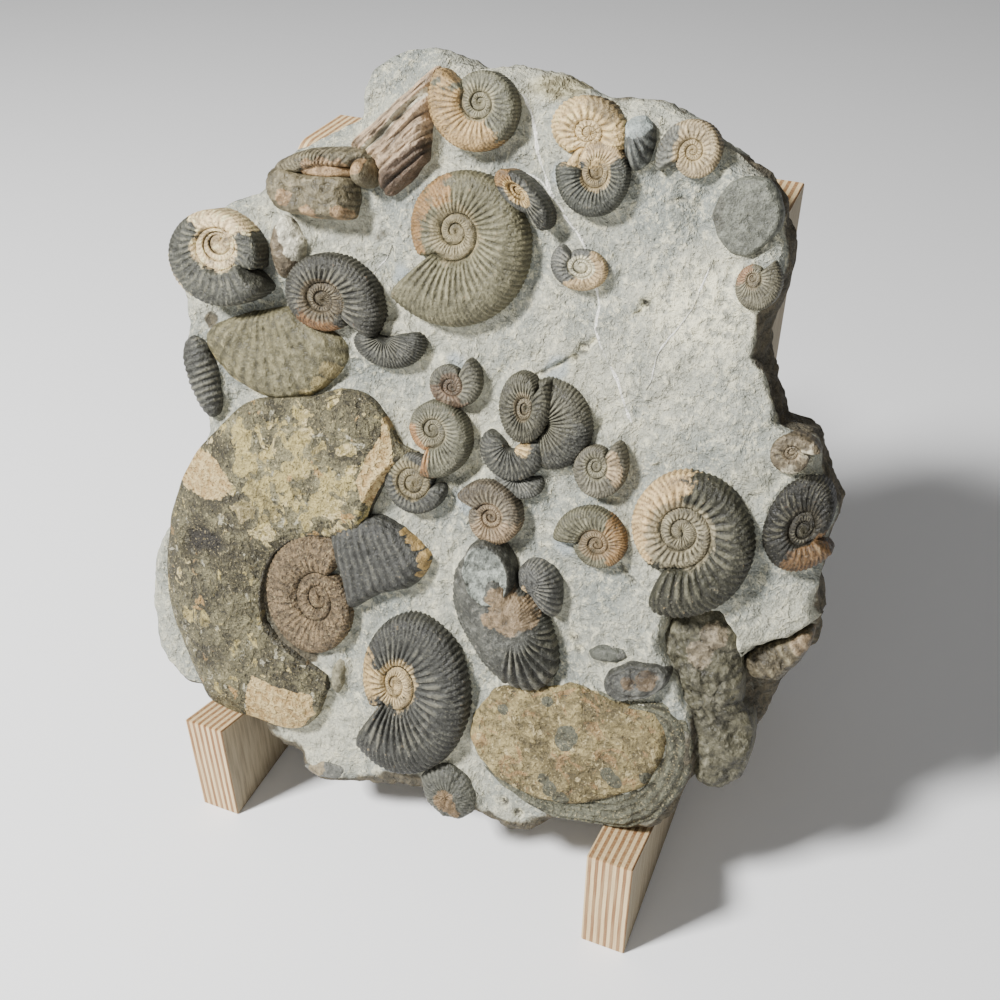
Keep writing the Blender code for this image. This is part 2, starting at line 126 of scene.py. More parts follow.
def hashed(ix, iy, iz, seed):
    """A repeatable value from -1 to 1 for each lattice corner."""
    h = (ix * 73856093) ^ (iy * 19349663) ^ (iz * 83492791) ^ (seed * 2654435761)
    h = (h ^ (h >> 13)) & 0x7FFFFFFF
    h = (h * 1274126177) & 0x7FFFFFFF
    h = (h ^ (h >> 16)) & 0xFFFFFF
    return h / float(0x7FFFFF) - 1.0


def value_noise(x, y, z, seed):
    """Smooth value noise of unit scale."""
    fx, fy, fz = np.floor(x), np.floor(y), np.floor(z)
    ix, iy, iz = fx.astype(np.int64), fy.astype(np.int64), fz.astype(np.int64)
    tx, ty, tz = x - fx, y - fy, z - fz
    tx, ty, tz = (t * t * (3 - 2 * t) for t in (tx, ty, tz))
    total = 0.0
    for cx in (0, 1):
        for cy in (0, 1):
            for cz in (0, 1):
                share = (tx if cx else 1 - tx) * (ty if cy else 1 - ty) * (tz if cz else 1 - tz)
                total = total + share * hashed(ix + cx, iy + cy, iz + cz, seed)
    return total


def fbm(u, v, scale, octaves=3, seed=1, w=0.0):
    """Fractal noise of a chosen scale in millimetres, from about -1 to 1."""
    u, v, w = np.broadcast_arrays(np.asarray(u, float), np.asarray(v, float), np.asarray(w, float))
    total, weight, size = 0.0, 0.0, 1.0
    for octave in range(octaves):
        k = 2.03 ** octave / scale
        total = total + size * value_noise(u * k + 7.3, v * k - 3.1, w * k + 0.5, seed + octave)
        weight += size
        size *= 0.5
    return total / weight


def place(u, v, w):
    """Points of the slab's frame, in metres."""
    x = u - ORIGIN_X
    y = NOTCH_Y + v * math.sin(LEAN) - w * math.cos(LEAN) - ORIGIN_Y
    z = NOTCH_Z + v * math.cos(LEAN) + w * math.sin(LEAN)
    return np.stack(np.broadcast_arrays(x, y, z), -1) * MM


def distance_to_line(u, v, line):
    """Distance from points to a run of straight pieces."""
    best = np.full(np.shape(u), 1e9)
    for (a, b), (c, d) in zip(line, line[1:]):
        du, dv = c - a, d - b
        t = np.clip(((u - a) * du + (v - b) * dv) / (du * du + dv * dv), 0, 1)
        best = np.minimum(best, np.hypot(u - a - t * du, v - b - t * dv))
    return best


def distance_inside(u, v, outline):
    """Distance to an outline, negative inside it."""
    closed = list(outline) + [outline[0]]
    away = distance_to_line(u, v, closed)
    inside = np.zeros(np.shape(u), bool)
    for (a, b), (c, d) in zip(closed, closed[1:]):
        if b != d:
            inside ^= ((b > v) != (d > v)) & (u < (c - a) * (v - b) / (d - b) + a)
    return np.where(inside, -away, away)


def lowered(u, v):
    """Share of the slab's lower level, from 0 to 1."""
    u = u + 3.0 * fbm(u, v, 10.0, 4, 51)
    v = v + 3.0 * fbm(u, v, 10.0, 4, 52)
    return smooth(1.5, -3.0, distance_inside(u, v, LOWER))


def slab_level(u, v):
    """Height of the slab's front face without fine relief."""
    u, v = np.asarray(u, float), np.asarray(v, float)
    level = FRONT - np.maximum(0.0, u - RIGHT_SLOPE_FROM) * RIGHT_SLOPE
    return level - LOWER_DROP * lowered(u, v)


def reach_to(outline, centre, angles):
    """Distances from a centre to an outline in given directions."""
    ring = np.array(outline, float) - np.array(centre, float)
    edge = np.roll(ring, -1, 0) - ring
    way = np.stack([np.cos(angles), np.sin(angles)], -1)
    cross = way[:, None, 0] * edge[None, :, 1] - way[:, None, 1] * edge[None, :, 0]
    cross = np.where(np.abs(cross) < 1e-9, 1e-9, cross)
    along = (ring[:, 0] * edge[:, 1] - ring[:, 1] * edge[:, 0])[None] / cross
    share = (ring[None, :, 0] * way[:, None, 1] - ring[None, :, 1] * way[:, None, 0]) / cross
    hit = (share >= -1e-6) & (share <= 1 + 1e-6) & (along > 0)
    return np.where(hit, along, 0.0).max(1)


def polar(centre, reach, angles):
    """Places at given distances and directions from a centre."""
    return centre[0] + reach * np.cos(angles), centre[1] + reach * np.sin(angles)


def soften(values, passes):
    """Average a closed run of values with its neighbours."""
    for _ in range(passes):
        values = 0.25 * np.roll(values, 1) + 0.5 * values + 0.25 * np.roll(values, -1)
    return values


def grid_faces(rows, columns, closed=False):
    """Quads between the rows of a grid of points; closed joins the last column to the first."""
    reach = columns if closed else columns - 1
    i, j = np.meshgrid(np.arange(rows - 1), np.arange(reach), indexing="ij")
    k = (j + 1) % columns
    corners = [i * columns + j, i * columns + k, (i + 1) * columns + k, (i + 1) * columns + j]
    return np.stack(corners, -1).reshape(-1, 4)


def fan_faces(ring, tip):
    """Triangles from a ring of point numbers to one tip."""
    return np.stack([ring, np.roll(ring, -1), np.full(len(ring), tip)], -1)


def new_piece(name, points, quads, tris, masks):
    """A smooth mesh object with per-vertex masks."""
    mesh = bpy.data.meshes.new(name)
    loops = np.concatenate([quads.ravel(), tris.ravel()])
    starts = np.concatenate([np.arange(len(quads)) * 4, quads.size + np.arange(len(tris)) * 3])
    mesh.vertices.add(len(points))
    mesh.vertices.foreach_set("co", np.asarray(points, np.float32).ravel())
    mesh.loops.add(len(loops))
    mesh.loops.foreach_set("vertex_index", loops.astype(np.int32))
    mesh.polygons.add(len(starts))
    mesh.polygons.foreach_set("loop_start", starts.astype(np.int32))
    mesh.update(calc_edges=True)
    mesh.validate()
    mesh.shade_smooth()
    for key, values in masks.items():
        layer = mesh.attributes.new(key, "FLOAT", "POINT")
        layer.data.foreach_set("value", np.asarray(values, np.float32).ravel())
    thing = bpy.data.objects.new(name, mesh)
    bpy.context.scene.collection.objects.link(thing)
    return thing


def settle(thing, node, material):
    """Give a piece its material and body, and hide the CAD node that it stands for."""
    thing.data.materials.append(material)
    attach(thing, "root")
    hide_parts(node)


def linear(colour):
    """A display colour as linear light."""
    return tuple(c / 12.92 if c <= 0.04045 else ((c + 0.055) / 1.055) ** 2.4 for c in colour)


def shade(colour, amount):
    """A darker or lighter colour."""
    return tuple(min(1.0, c * amount) for c in colour)


class Shader:
    """A small builder for procedural materials."""

    def __init__(self, name):
        self.material = bpy.data.materials.new(name)
        self.material.use_nodes = True
        self.tree = self.material.node_tree
        self.surface = self.tree.nodes["Principled BSDF"]
        self.coords = self.tree.nodes.new("ShaderNodeTexCoord").outputs["Object"]

    def link(self, value, socket):
        """Set a socket to a constant or link it."""
        if isinstance(value, bpy.types.NodeSocket):
            self.tree.links.new(value, socket)
        elif isinstance(value, tuple):
            socket.default_value = (*value, 1.0)[:len(socket.default_value)]
        else:
            socket.default_value = value

    def mask(self, name):
        """A per-vertex mask of the mesh."""
        node = self.tree.nodes.new("ShaderNodeAttribute")
        node.attribute_name = name
        return node.outputs["Fac"]

    def noise(self, size, detail=4.0, rough=0.6, vector=None, distort=0.0):
        """Noise whose features are about a size in millimetres."""
        node = self.tree.nodes.new("ShaderNodeTexNoise")
        node.inputs["Scale"].default_value = 1.0 / (size * MM)
        node.inputs["Detail"].default_value = detail
        node.inputs["Roughness"].default_value = rough
        node.inputs["Distortion"].default_value = distort
        self.link(self.coords if vector is None else vector, node.inputs["Vector"])
        return node.outputs["Fac"]

    def stretch(self, x, y, z, rotation=(0.0, 0.0, 0.0)):
        """Coordinates scaled along each axis."""
        node = self.tree.nodes.new("ShaderNodeMapping")
        node.inputs["Scale"].default_value = (x, y, z)
        node.inputs["Rotation"].default_value = rotation
        self.link(self.coords, node.inputs["Vector"])
        return node.outputs["Vector"]

    def math(self, operation, a, b=0.0, clamp=False):
        """One Math node."""
        node = self.tree.nodes.new("ShaderNodeMath")
        node.operation = operation
        node.use_clamp = clamp
        self.link(a, node.inputs[0])
        self.link(b, node.inputs[1])
        return node.outputs[0]

    def span(self, value, low, high, start=0.0, end=1.0):
        """Map a value from one range to another, smoothly and clamped."""
        node = self.tree.nodes.new("ShaderNodeMapRange")
        node.interpolation_type = "SMOOTHSTEP"
        self.link(value, node.inputs["Value"])
        for key, number in (("From Min", low), ("From Max", high), ("To Min", start), ("To Max", end)):
            node.inputs[key].default_value = number
        return node.outputs["Result"]

    def mix(self, share, a, b):
        """Blend two colours."""
        node = self.tree.nodes.new("ShaderNodeMix")
        node.data_type = "RGBA"
        self.link(share, node.inputs["Factor"])
        self.link(a, node.inputs["A"])
        self.link(b, node.inputs["B"])
        return node.outputs["Result"] if node.outputs["Result"].type == "RGBA" else node.outputs[2]

    def lay(self, colour, field, low, high, share, other):
        """Lay another colour over one where a field passes from low to high."""
        return self.mix(self.span(field, low, high, 0.0, share), colour, other)

    def ragged(self, mask, noise, amount):
        """A mask whose edge is broken up by noise."""
        return self.math("ADD", self.mask(mask), self.times(self.math("SUBTRACT", noise, 0.5), amount))

    def times(self, a, b, clamp=False):
        """A value scaled by another."""
        return self.math("MULTIPLY", a, b, clamp)

    def bump(self, height, distance, strength=1.0, below=None):
        """A bump whose full height is a distance in millimetres."""
        node = self.tree.nodes.new("ShaderNodeBump")
        node.inputs["Strength"].default_value = strength
        node.inputs["Distance"].default_value = distance * MM
        self.link(height, node.inputs["Height"])
        if below is not None:
            self.link(below, node.inputs["Normal"])
        return node.outputs["Normal"]

    def finish(self, colour, roughness, normal):
        """Join the results to the surface."""
        self.link(colour, self.surface.inputs["Base Color"])
        self.link(roughness, self.surface.inputs["Roughness"])
        self.link(normal, self.surface.inputs["Normal"])
        self.surface.inputs["Specular IOR Level"].default_value = 0.35
        return self.material


# Display colours of the fossils
OLIVE = (0.50, 0.48, 0.39)
CHARCOAL = (0.31, 0.31, 0.28)
SLATE = (0.42, 0.42, 0.39)
TAN = (0.80, 0.69, 0.51)
GOLD = (0.88, 0.75, 0.52)
BROWN = (0.54, 0.49, 0.39)
ORANGE = (0.64, 0.50, 0.32)
PINK = (0.70, 0.61, 0.47)
BLUISH = (0.60, 0.63, 0.61)
CREAM = (0.84, 0.81, 0.68)

# Coils, one entry for each. Angles are in degrees from u, and shares are of the coil's radius.
#   box: left, right, low and high edge. eye: its middle. aperture: the mouth's angle
#   sense: 1 if the coil winds anticlockwise towards its mouth, or -1. growth: radius gained a whorl
#   ribs: number a whorl. rib_depth: share of the whorl's width. rise: height over the slab
#   overlap: share of a whorl that the next one hides. whorls: number shown. blunt: length of the
#   rounded mouth, in whorls. dish: share of the rise that the middle keeps. squash: angle of the
#   long axis, and short over long. tilt: slope along u and v. foot: its depth in the slab
#   arc: whorls that show of a coil whose middle is buried, and core: the share buried
#   columns: points across a whorl. samples: points along it for each rib
#   level: height of the ground, if not the slab's
#   colours: main, patches, inner whorls, and how mottled they are
#   patches: angle, half width, inner and outer share
COILS = {
    "golden_ammonite": dict(
        box=(23.5, 49.5, 243, 267.5), eye=(38, 256), aperture=252, sense=-1, growth=1.75, ribs=20,
        rise=6, rib_depth=0.13, overlap=0.35, slot="tan_fossil",
        colours=((0.92, 0.79, 0.56), (0.62, 0.54, 0.39), (0.86, 0.76, 0.57)),
        patches=[(60, 25, 0.5, 1.1)]),
    "crescent_ammonite": dict(
        box=(-43.8, -13.5, 164, 180.5), eye=(-27, 178), aperture=22, sense=1, growth=1.12, ribs=34,
        rise=6, arc=0.56, core=0.06, blunt=0.12, slot="dark_fossil", colours=(CHARCOAL, SLATE, BROWN),
        patches=[]),
    "ribbed_arc_ammonite": dict(
        box=(27, 53, 139, 173), eye=(36, 156), aperture=262, sense=-1, growth=1.15, ribs=36, rise=7,
        arc=0.6, core=0.12, blunt=0.12, slot="olive_fossil",
        colours=((0.40, 0.39, 0.33), CHARCOAL, BROWN), patches=[(330, 40, 0.6, 1.1)]),
    "thin_crescent_ammonite": dict(
        box=(18, 39, 126, 136.5), eye=(29, 134), aperture=10, sense=1, growth=1.2, ribs=26, rise=4.5,
        arc=0.52, core=0.2, blunt=0.15, slot="grey_fossil", colours=(SLATE, CHARCOAL, CHARCOAL),
        patches=[(0, 30, 0.5, 1.1)]),
    "blunt_dark_ammonite": dict(
        box=(-24, 2, 111, 135), eye=(-12, 122), aperture=2, sense=1, growth=1.75, ribs=32, rise=7,
        overlap=0.1, blunt=0.07, slot="dark_fossil",
        colours=(CHARCOAL, (0.52, 0.49, 0.38), (0.56, 0.51, 0.38)), patches=[(140, 26, 0.1, 0.7)]),
    "large_ribbed_ammonite": dict(
        box=(-30, 22, 184, 238), eye=(-5, 218), aperture=222, sense=-1, growth=2.1, ribs=50, rise=10,
        columns=22, blunt=0.015, overlap=0.38, rib_depth=0.045, slot="olive_fossil",
        colours=((0.465, 0.445, 0.34), (0.62, 0.48, 0.30), (0.58, 0.53, 0.40)),
        patches=[(170, 36, 0.4, 1.0), (118, 10, 0.3, 0.65)]),
    "large_tan_ammonite": dict(
        box=(73, 116, 97, 151), eye=(91, 130), aperture=252, sense=-1, growth=1.9, ribs=36, rise=9,
        columns=22, overlap=0.2, rib_depth=0.085, slot="tan_fossil",
        colours=((0.25, 0.245, 0.19), (0.90, 0.76, 0.54), (0.60, 0.56, 0.45)),
        patches=[(158, 60, 0.3, 1.1)]),
    "right_edge_ammonite": dict(
        box=(117, 142, 123, 158), eye=(131, 138), aperture=330, sense=1, growth=1.8, ribs=30, rise=8,
        blunt=0.012, squash=(60, 0.8), overlap=0.35, slot="dark_fossil",
        colours=((0.14, 0.135, 0.105), (0.42, 0.31, 0.18), (0.20, 0.18, 0.13), 0.5),
        patches=[(302, 34, 0.4, 1.1)]),
    "golden_spot_ammonite": dict(
        box=(12.5, 38, 133, 153), eye=(26, 148), aperture=25, sense=1, growth=1.25, ribs=26, rise=8,
        arc=0.62, core=0.16, blunt=0.12, slot="dark_fossil", colours=(CHARCOAL, GOLD, BROWN),
        patches=[(0, 16, 0.2, 0.6)]),
    "top_ribbed_ammonite": dict(
        box=(-20, 12, 245, 272), eye=(-1, 261), aperture=140, sense=-1, growth=1.9, ribs=36, rise=9,
        overlap=0.36, rib_depth=0.06, slot="brown_fossil",
        colours=((0.48, 0.47, 0.385), (0.74, 0.61, 0.41), (0.55, 0.52, 0.41)),
        patches=[(235, 70, 0.3, 1.1), (140, 18, 0.6, 1.1)]),
    "dark_grey_ammonite": dict(
        box=(28, 53, 230, 254), eye=(42.5, 245), aperture=170, sense=-1, growth=1.9, ribs=40, rise=8,
        overlap=0.3, rib_depth=0.08, slot="grey_fossil",
        colours=((0.32, 0.325, 0.29), TAN, (0.70, 0.62, 0.46)), patches=[(98, 62, 0.2, 1.1)]),
    "small_tan_ammonite": dict(
        box=(60.5, 81, 246.5, 264.5), eye=(72, 255.5), aperture=212, sense=1, growth=2.0, ribs=26,
        rise=5, blunt=0.015, slot="tan_fossil",
        colours=((0.74, 0.66, 0.51), (0.46, 0.46, 0.42), (0.70, 0.62, 0.46)),
        patches=[(175, 42, 0.55, 1.1)]),
    "tilted_small_ammonite": dict(
        box=(9, 29, 223, 241), eye=(17, 235), aperture=290, sense=-1, growth=1.8, ribs=26, rise=12,
        squash=(-42, 0.5), tilt=(-0.1, 0.1), rib_depth=0.1, slot="tan_fossil",
        colours=(CHARCOAL, ORANGE, GOLD), patches=[(140, 40, 0.3, 1.1)]),
    "split_grey_ammonite": dict(
        box=(30, 50, 205, 220), eye=(41, 213), aperture=130, sense=-1, growth=1.6, ribs=26, rise=5,
        overlap=0.3, slot="grey_fossil", colours=(SLATE, TAN, CREAM), patches=[(330, 85, 0.1, 1.1)]),
    "tilted_left_ammonite": dict(
        box=(-121, -76, 176, 210), eye=(-98, 200.5), aperture=338, sense=1, growth=1.4, ribs=30,
        rise=12, overlap=0.4, whorls=3.7, rib_depth=0.045, foot=DEEP_FOOT, blunt=0.03,
        tilt=(0.06, -0.16), slot="dark_fossil",
        colours=((0.30, 0.30, 0.26), (0.94, 0.83, 0.63), (0.93, 0.82, 0.62), 0.8),
        patches=[(88, 40, 0.3, 0.85), (215, 30, 0.88, 1.1)]),
    "dark_left_ammonite": dict(
        box=(-70, -31, 173, 202), eye=(-55, 185), aperture=322, sense=-1, growth=1.9, ribs=36, rise=10,
        columns=22, overlap=0.24, rib_depth=0.1, slot="dark_fossil",
        colours=((0.29, 0.285, 0.25), (0.50, 0.36, 0.21), (0.42, 0.37, 0.28)),
        patches=[(258, 30, 0.36, 1.0)]),
    "arm_ammonite": dict(
        box=(-10, 10, 155, 175), eye=(-1, 162), aperture=65, sense=1, growth=1.9, ribs=24, rise=6,
        slot="grey_fossil", colours=((0.40, 0.39, 0.33), (0.44, 0.36, 0.28), (0.44, 0.36, 0.28)),
        patches=[(250, 60, 0.2, 0.8)]),
    "olive_ammonite": dict(
        box=(-15, 9, 127, 156), eye=(-6, 146), aperture=256, sense=-1, growth=2.1, ribs=40, rise=9,
        blunt=0.012, overlap=0.22, slot="olive_fossil",
        colours=((0.45, 0.44, 0.36), (0.68, 0.51, 0.33), (0.52, 0.49, 0.39)),
        patches=[(220, 42, 0.3, 1.1)]),
    "strong_ribbed_ammonite": dict(
        box=(19, 38, 149, 174), eye=(29, 161), aperture=40, sense=1, growth=1.7, ribs=30, rise=10,
        rib_depth=0.1, overlap=0.45, blunt=0.008, squash=(100, 0.8), slot="dark_fossil",
        colours=((0.35, 0.34, 0.28), SLATE, BROWN), patches=[]),
    "pink_patched_ammonite": dict(
        box=(49, 68, 134, 157), eye=(57, 146), aperture=62, sense=1, growth=1.9, ribs=28, rise=7,
        slot="grey_fossil", colours=((0.46, 0.44, 0.37), PINK, OLIVE), patches=[(12, 28, 0.25, 0.8)]),
    "brown_topped_ammonite": dict(
        box=(6, 32, 107, 131), eye=(21, 118), aperture=165, sense=1, growth=1.8, ribs=32, rise=9,
        overlap=0.3, slot="brown_fossil",
        colours=((0.42, 0.38, 0.31), (0.62, 0.53, 0.41), (0.54, 0.46, 0.35)),
        patches=[(290, 70, 0.2, 0.95)]),
    "orange_ammonite": dict(
        box=(45, 72, 108, 130), eye=(62, 117), aperture=195, sense=1, growth=1.9, ribs=36, rise=7,
        slot="brown_fossil", colours=((0.44, 0.425, 0.335), (0.55, 0.42, 0.25), (0.52, 0.44, 0.32)),
        patches=[(10, 55, 0.1, 1.1)]),
    "large_dark_ammonite": dict(
        box=(-28, 21, -2, 69), eye=(-11, 38), aperture=226, sense=-1, growth=1.95, ribs=40, rise=11,
        columns=24, overlap=0.48, rib_depth=0.065, blunt=0.02, slot="dark_fossil",
        colours=((0.285, 0.285, 0.26), (0.78, 0.66, 0.45), (0.82, 0.72, 0.53)),
        patches=[(187, 24, 0.2, 1.1), (45, 26, 0.94, 1.1)]),
    "fan_ammonite": dict(
        box=(93.3, 107.5, 208.5, 226), eye=(98, 219.5), aperture=60, sense=1, growth=2.0, ribs=30,
        rise=4, blunt=0.012, overlap=0.4, slot="brown_fossil",
        colours=((0.46, 0.44, 0.36), (0.60, 0.46, 0.33), BROWN), patches=[(150, 40, 0.0, 0.9)]),
    "right_coil_ammonite": dict(
        box=(114.5, 131, 156.5, 171), eye=(121.5, 165), aperture=20, sense=-1, growth=1.8, ribs=16,
        rise=5, blunt=0.012, overlap=0.4, rib_depth=0.04, slot="brown_fossil",
        colours=((0.47, 0.42, 0.33), (0.72, 0.68, 0.58), (0.52, 0.46, 0.36), 1.0),
        patches=[(280, 24, 0.4, 1.0), (20, 12, 0.3, 0.8)]),
}


def affine_fit(unit, outer, box, squash):
    """Move unit spiral points so that the last whorl fills its box."""
    turn, ratio = math.radians(squash[0]), squash[1]
    spin = np.array([[math.cos(turn), -math.sin(turn)], [math.sin(turn), math.cos(turn)]])
    flat = spin @ np.diag([1.0, ratio]) @ spin.T
    edge = outer @ flat.T
    low, high = edge.min(0), edge.max(0)
    start, size = np.array([box[0], box[2]], float), np.array([box[1] - box[0], box[3] - box[2]], float)
    return start + (unit @ flat.T - low) / (high - low) * size


def coil_surface(box, eye, aperture, sense, growth, ribs, rise, tilt=(0, 0), squash=(0, 1.0),
                 patches=(), arc=0.0, core=0.0, overlap=0.25, whorls=3.1, samples=7.5, columns=17,
                 dish=0.55, foot=FOOT, level=None, rib_depth=0.07, blunt=0.035, seed=1):
    """Sweep a whorl's section along a spiral: points of the slab's frame, faces and masks."""
    whorls = arc or whorls
    # Ribs stay a little closer together towards the eye
    rate = 0.35 * math.log(growth)
    total = (1 - math.exp(-rate * whorls)) / rate
    count = np.linspace(0, total, int(ribs * samples * total))[:, None]
    back = -np.log(1 - rate * count) / rate
    angle = math.radians(aperture) - sense * TAU * back
    outer = growth ** -back
    if arc:
        inner = outer * core
        under = np.zeros_like(back)
        ends = np.minimum(back, whorls - back)
    else:
        under = smooth(0.97, 1.03, back)
        inner = outer / growth * (1 - overlap) * 0.985
        inner = inner * (1 - smooth(whorls - 1.2, whorls - 0.8, back))
        ends = back
    outer = outer * (1 - overlap * under)
    width = outer - inner
    # Columns: two of the outer wall, the section over the crest, and one down the seam
    across = np.concatenate([[-2, -1], np.linspace(0, 180, columns - 3), [181]])[None]
    bend = np.radians(np.clip(across, 0, 180))
    share = 0.5 + 0.5 * np.sign(np.cos(bend)) * np.abs(np.cos(bend)) ** 0.8
    lift = np.sin(bend) ** 0.7
    lift = np.where(across > 90, 0.3 + 0.7 * lift, lift)
    lift = np.maximum(lift, 0.45 * under * (across < 90))
    radius = inner + width * share
    # Ribs lean forward, curve back over the flank and split in two on its outer half
    phase = TAU * ribs * count + 2.6 * np.sin(math.pi * share) - 2.6 * share ** 2
    phase = phase + 0.5 * fbm(radius * np.cos(angle) * 4, radius * np.sin(angle) * 4, 1.0, 2, seed + 7)
    one = 1 - (0.5 - 0.5 * np.cos(phase)) ** 2.2
    two = 1 - (0.5 - 0.5 * np.cos(2 * phase)) ** 1.8
    split = smooth(0.5, 0.72, share)
    rib = one * (1 - split) + two * split * 0.8
    wear = 0.8 + 0.5 * fbm(radius * np.cos(angle) * 3, radius * np.sin(angle) * 3, 1.0, 2, seed)
    amount = rib_depth * width * rib * wear * smooth(0.0, 0.15, share) * (1 + 0.8 * under)
    round_end = np.sqrt(1 - (1 - np.clip(ends / blunt, 0, 1)) ** 2)
    middle = inner + width * 0.5
    radius = middle + (radius - middle) * (0.25 + 0.75 * round_end) + amount * (2 * share - 1) * 0.7
    flat = np.stack(polar((0, 0), radius, angle), -1)
    first = back[:, 0] <= 1.0
    rim = np.stack(polar((0, 0), outer, angle), -1)[first, 0]
    if arc:
        seam = np.stack(polar((0, 0), inner, angle), -1)[:, 0]
        rim = np.concatenate([rim, seam])
    spot = affine_fit(flat.reshape(-1, 2), rim, box, squash).reshape(flat.shape)
    reach = np.sqrt((flat ** 2).sum(-1))
    if not arc:
        centre = affine_fit(np.zeros((1, 2)), rim, box, squash)[0]
        pull = (1 - np.clip(reach, 0, 1)) ** 1.5
        spot = spot + (np.array(eye) - centre) * pull[..., None]
    size = math.sqrt((box[1] - box[0]) * (box[3] - box[2])) / 2
    crest = rise * (dish + (1 - dish) * growth ** -back)
    thick = np.minimum(width * size * 0.5, crest * 0.9)
    ground = slab_level(*eye) if level is None else level
    w = crest - thick + thick * lift + amount * size * lift * 1.2
    w = w - (across > 180) * thick * 0.5
    w = ground + w * (0.3 + 0.7 * round_end)
    wall = np.clip(-across / 2, 0, 1) * (1 - under)
    w = w * (1 - wall) + (ground - foot) * wall
    if arc:
        w = np.where(across > 180, ground - foot, w)
    w = w + tilt[0] * (spot[..., 0] - eye[0]) + tilt[1] * (spot[..., 1] - eye[1])
    blotch = fbm(spot[..., 0], spot[..., 1], 5.0, 3, seed + 11)
    tint = np.zeros_like(radius)
    for middle, half, near, far in patches:
        turn = (np.degrees(angle) - middle + 180) % 360 - 180
        side = smooth(half + 25, half - 15, np.abs(turn) + 22 * blotch)
        span = smooth(near - 0.12, near + 0.05, reach) * smooth(far + 0.1, far - 0.05, reach)
        tint = np.maximum(tint, side * span)
    rows = len(back)
    points = np.concatenate([spot, w[..., None]], -1).reshape(-1, 3)
    quads = grid_faces(rows, columns)
    # Close both ends
    mouth = np.arange(columns)
    last = (rows - 1) * columns + np.arange(columns)
    points = np.concatenate([points, [points[mouth].mean(0)], [points[last].mean(0)]])
    tris = np.concatenate([fan_faces(mouth[::-1], rows * columns), fan_faces(last, rows * columns + 1)])
    if sense > 0:
        quads = quads[:, ::-1]
        tris = tris[:, ::-1]
    # rib marks the crests for a painted highlight; valley marks the grooves between ribs, and seam the
    # whorl seams and outer wall, both for painted shade.
    masks = {
        "rib": rib * smooth(0.0, 0.2, share) * round_end,
        "valley": (1 - rib) ** 1.3 * smooth(0.0, 0.25, share) * min(1.0, rib_depth / 0.06),
        "seam": (1 - smooth(0.0, 0.08, share)) + 0.8 * (across < 0) * (1 - under),
        "tint": tint,
        "inner": smooth(1 / growth * (1 - overlap) + 0.06, 1 / growth * (1 - overlap) - 0.06,
                        reach + 0.08 * blotch) * (0 if arc else 1),
    }
    masks = {key: np.append(np.broadcast_to(value, radius.shape).ravel(), [0.0, 0.0])
             for key, value in masks.items()}
    return points, quads, tris, masks


def fossil_material(name, main, patch, inner, mottle=0.6):
    """Fossil shell: mottled colour, painted highlights on rib crests, painted shade in valleys, seams and
    walls, fine surface.
    """
    s = Shader(name)
    main, patch, inner, cream = (linear(c) for c in (main, patch, inner, CREAM))
    wide = s.noise(8.0, 4.0, 0.6, distort=0.3)
    fine = s.noise(2.6, 3.0, 0.6)
    grain = s.noise(0.9, 2.0, 0.6)

    def mottled(colour):
        light = tuple(min(1.0, c * 1.35 + 0.03) for c in colour)
        tone = s.mix(s.span(wide, 0.38, 0.62), shade(colour, 1 - 0.5 * mottle), colour)
        tone = s.lay(tone, fine, 0.5, 0.68, mottle, light)
        return s.lay(tone, fine, 0.48, 0.34, mottle, shade(colour, 0.4))

    edge = s.ragged("tint", fine, 2.0)
    colour = s.mix(s.span(edge, 0.3, 0.7), mottled(main), mottled(patch))
    eye = s.ragged("inner", fine, 2.0)
    colour = s.lay(colour, eye, 0.4, 0.9, 0.85, mottled(inner))
    # Painted highlight: the rib crests are lightened towards cream, broken up by noise.
    crest = s.times(s.mask("rib"), s.span(wide, 0.38, 0.6, 0.45, 1.0))
    colour = s.lay(colour, crest, 0.5, 1.0, 0.35, s.mix(0.3, colour, cream))
    # Painted shade: nearly black in the valleys between ribs, dark along the seams and the walls down to
    # the slab.
    valley = s.times(s.mask("valley"), 0.9, True)
    colour = s.mix(valley, colour, s.mix(0.85, colour, (0.01, 0.009, 0.007)))
    colour = s.mix(s.times(s.mask("seam"), 0.55, True), colour, (0.022, 0.019, 0.014))
    colour = s.lay(colour, grain, 0.58, 0.74, 0.3, s.mix(0.4, colour, cream))
    colour = s.lay(colour, grain, 0.44, 0.3, 0.55, shade(main, 0.25))
    normal = s.bump(grain, 0.4, 1.0)
    normal = s.bump(fine, 1.2, 1.0, normal)
    return s.finish(colour, s.span(fine, 0.3, 0.7, 0.42, 0.67), normal)


def roughen(points, amount, scale, seed):
    """Add fine relief to points of the slab's frame, along w."""
    points[:, 2] += amount * fbm(points[:, 0], points[:, 1], scale, 3, seed + 50, points[:, 2])


def make_fossil(name, material, surface):
    """One fossil from its surface."""
    points, quads, tris, masks = surface
    settle(new_piece(f"{name}_shell", place(*points.T), quads, tris, masks), name, material)


def make_coils():
    """Every fossil of COILS."""
    for number, (name, spec) in enumerate(COILS.items()):
        spec = dict(spec)
        slot, colours = spec.pop("slot"), spec.pop("colours")
        surface = coil_surface(seed=number + 3, **spec)
        roughen(surface[0], amount=0.35, scale=3.0, seed=number)
        make_fossil(name, fossil_material(name, *colours), surface)


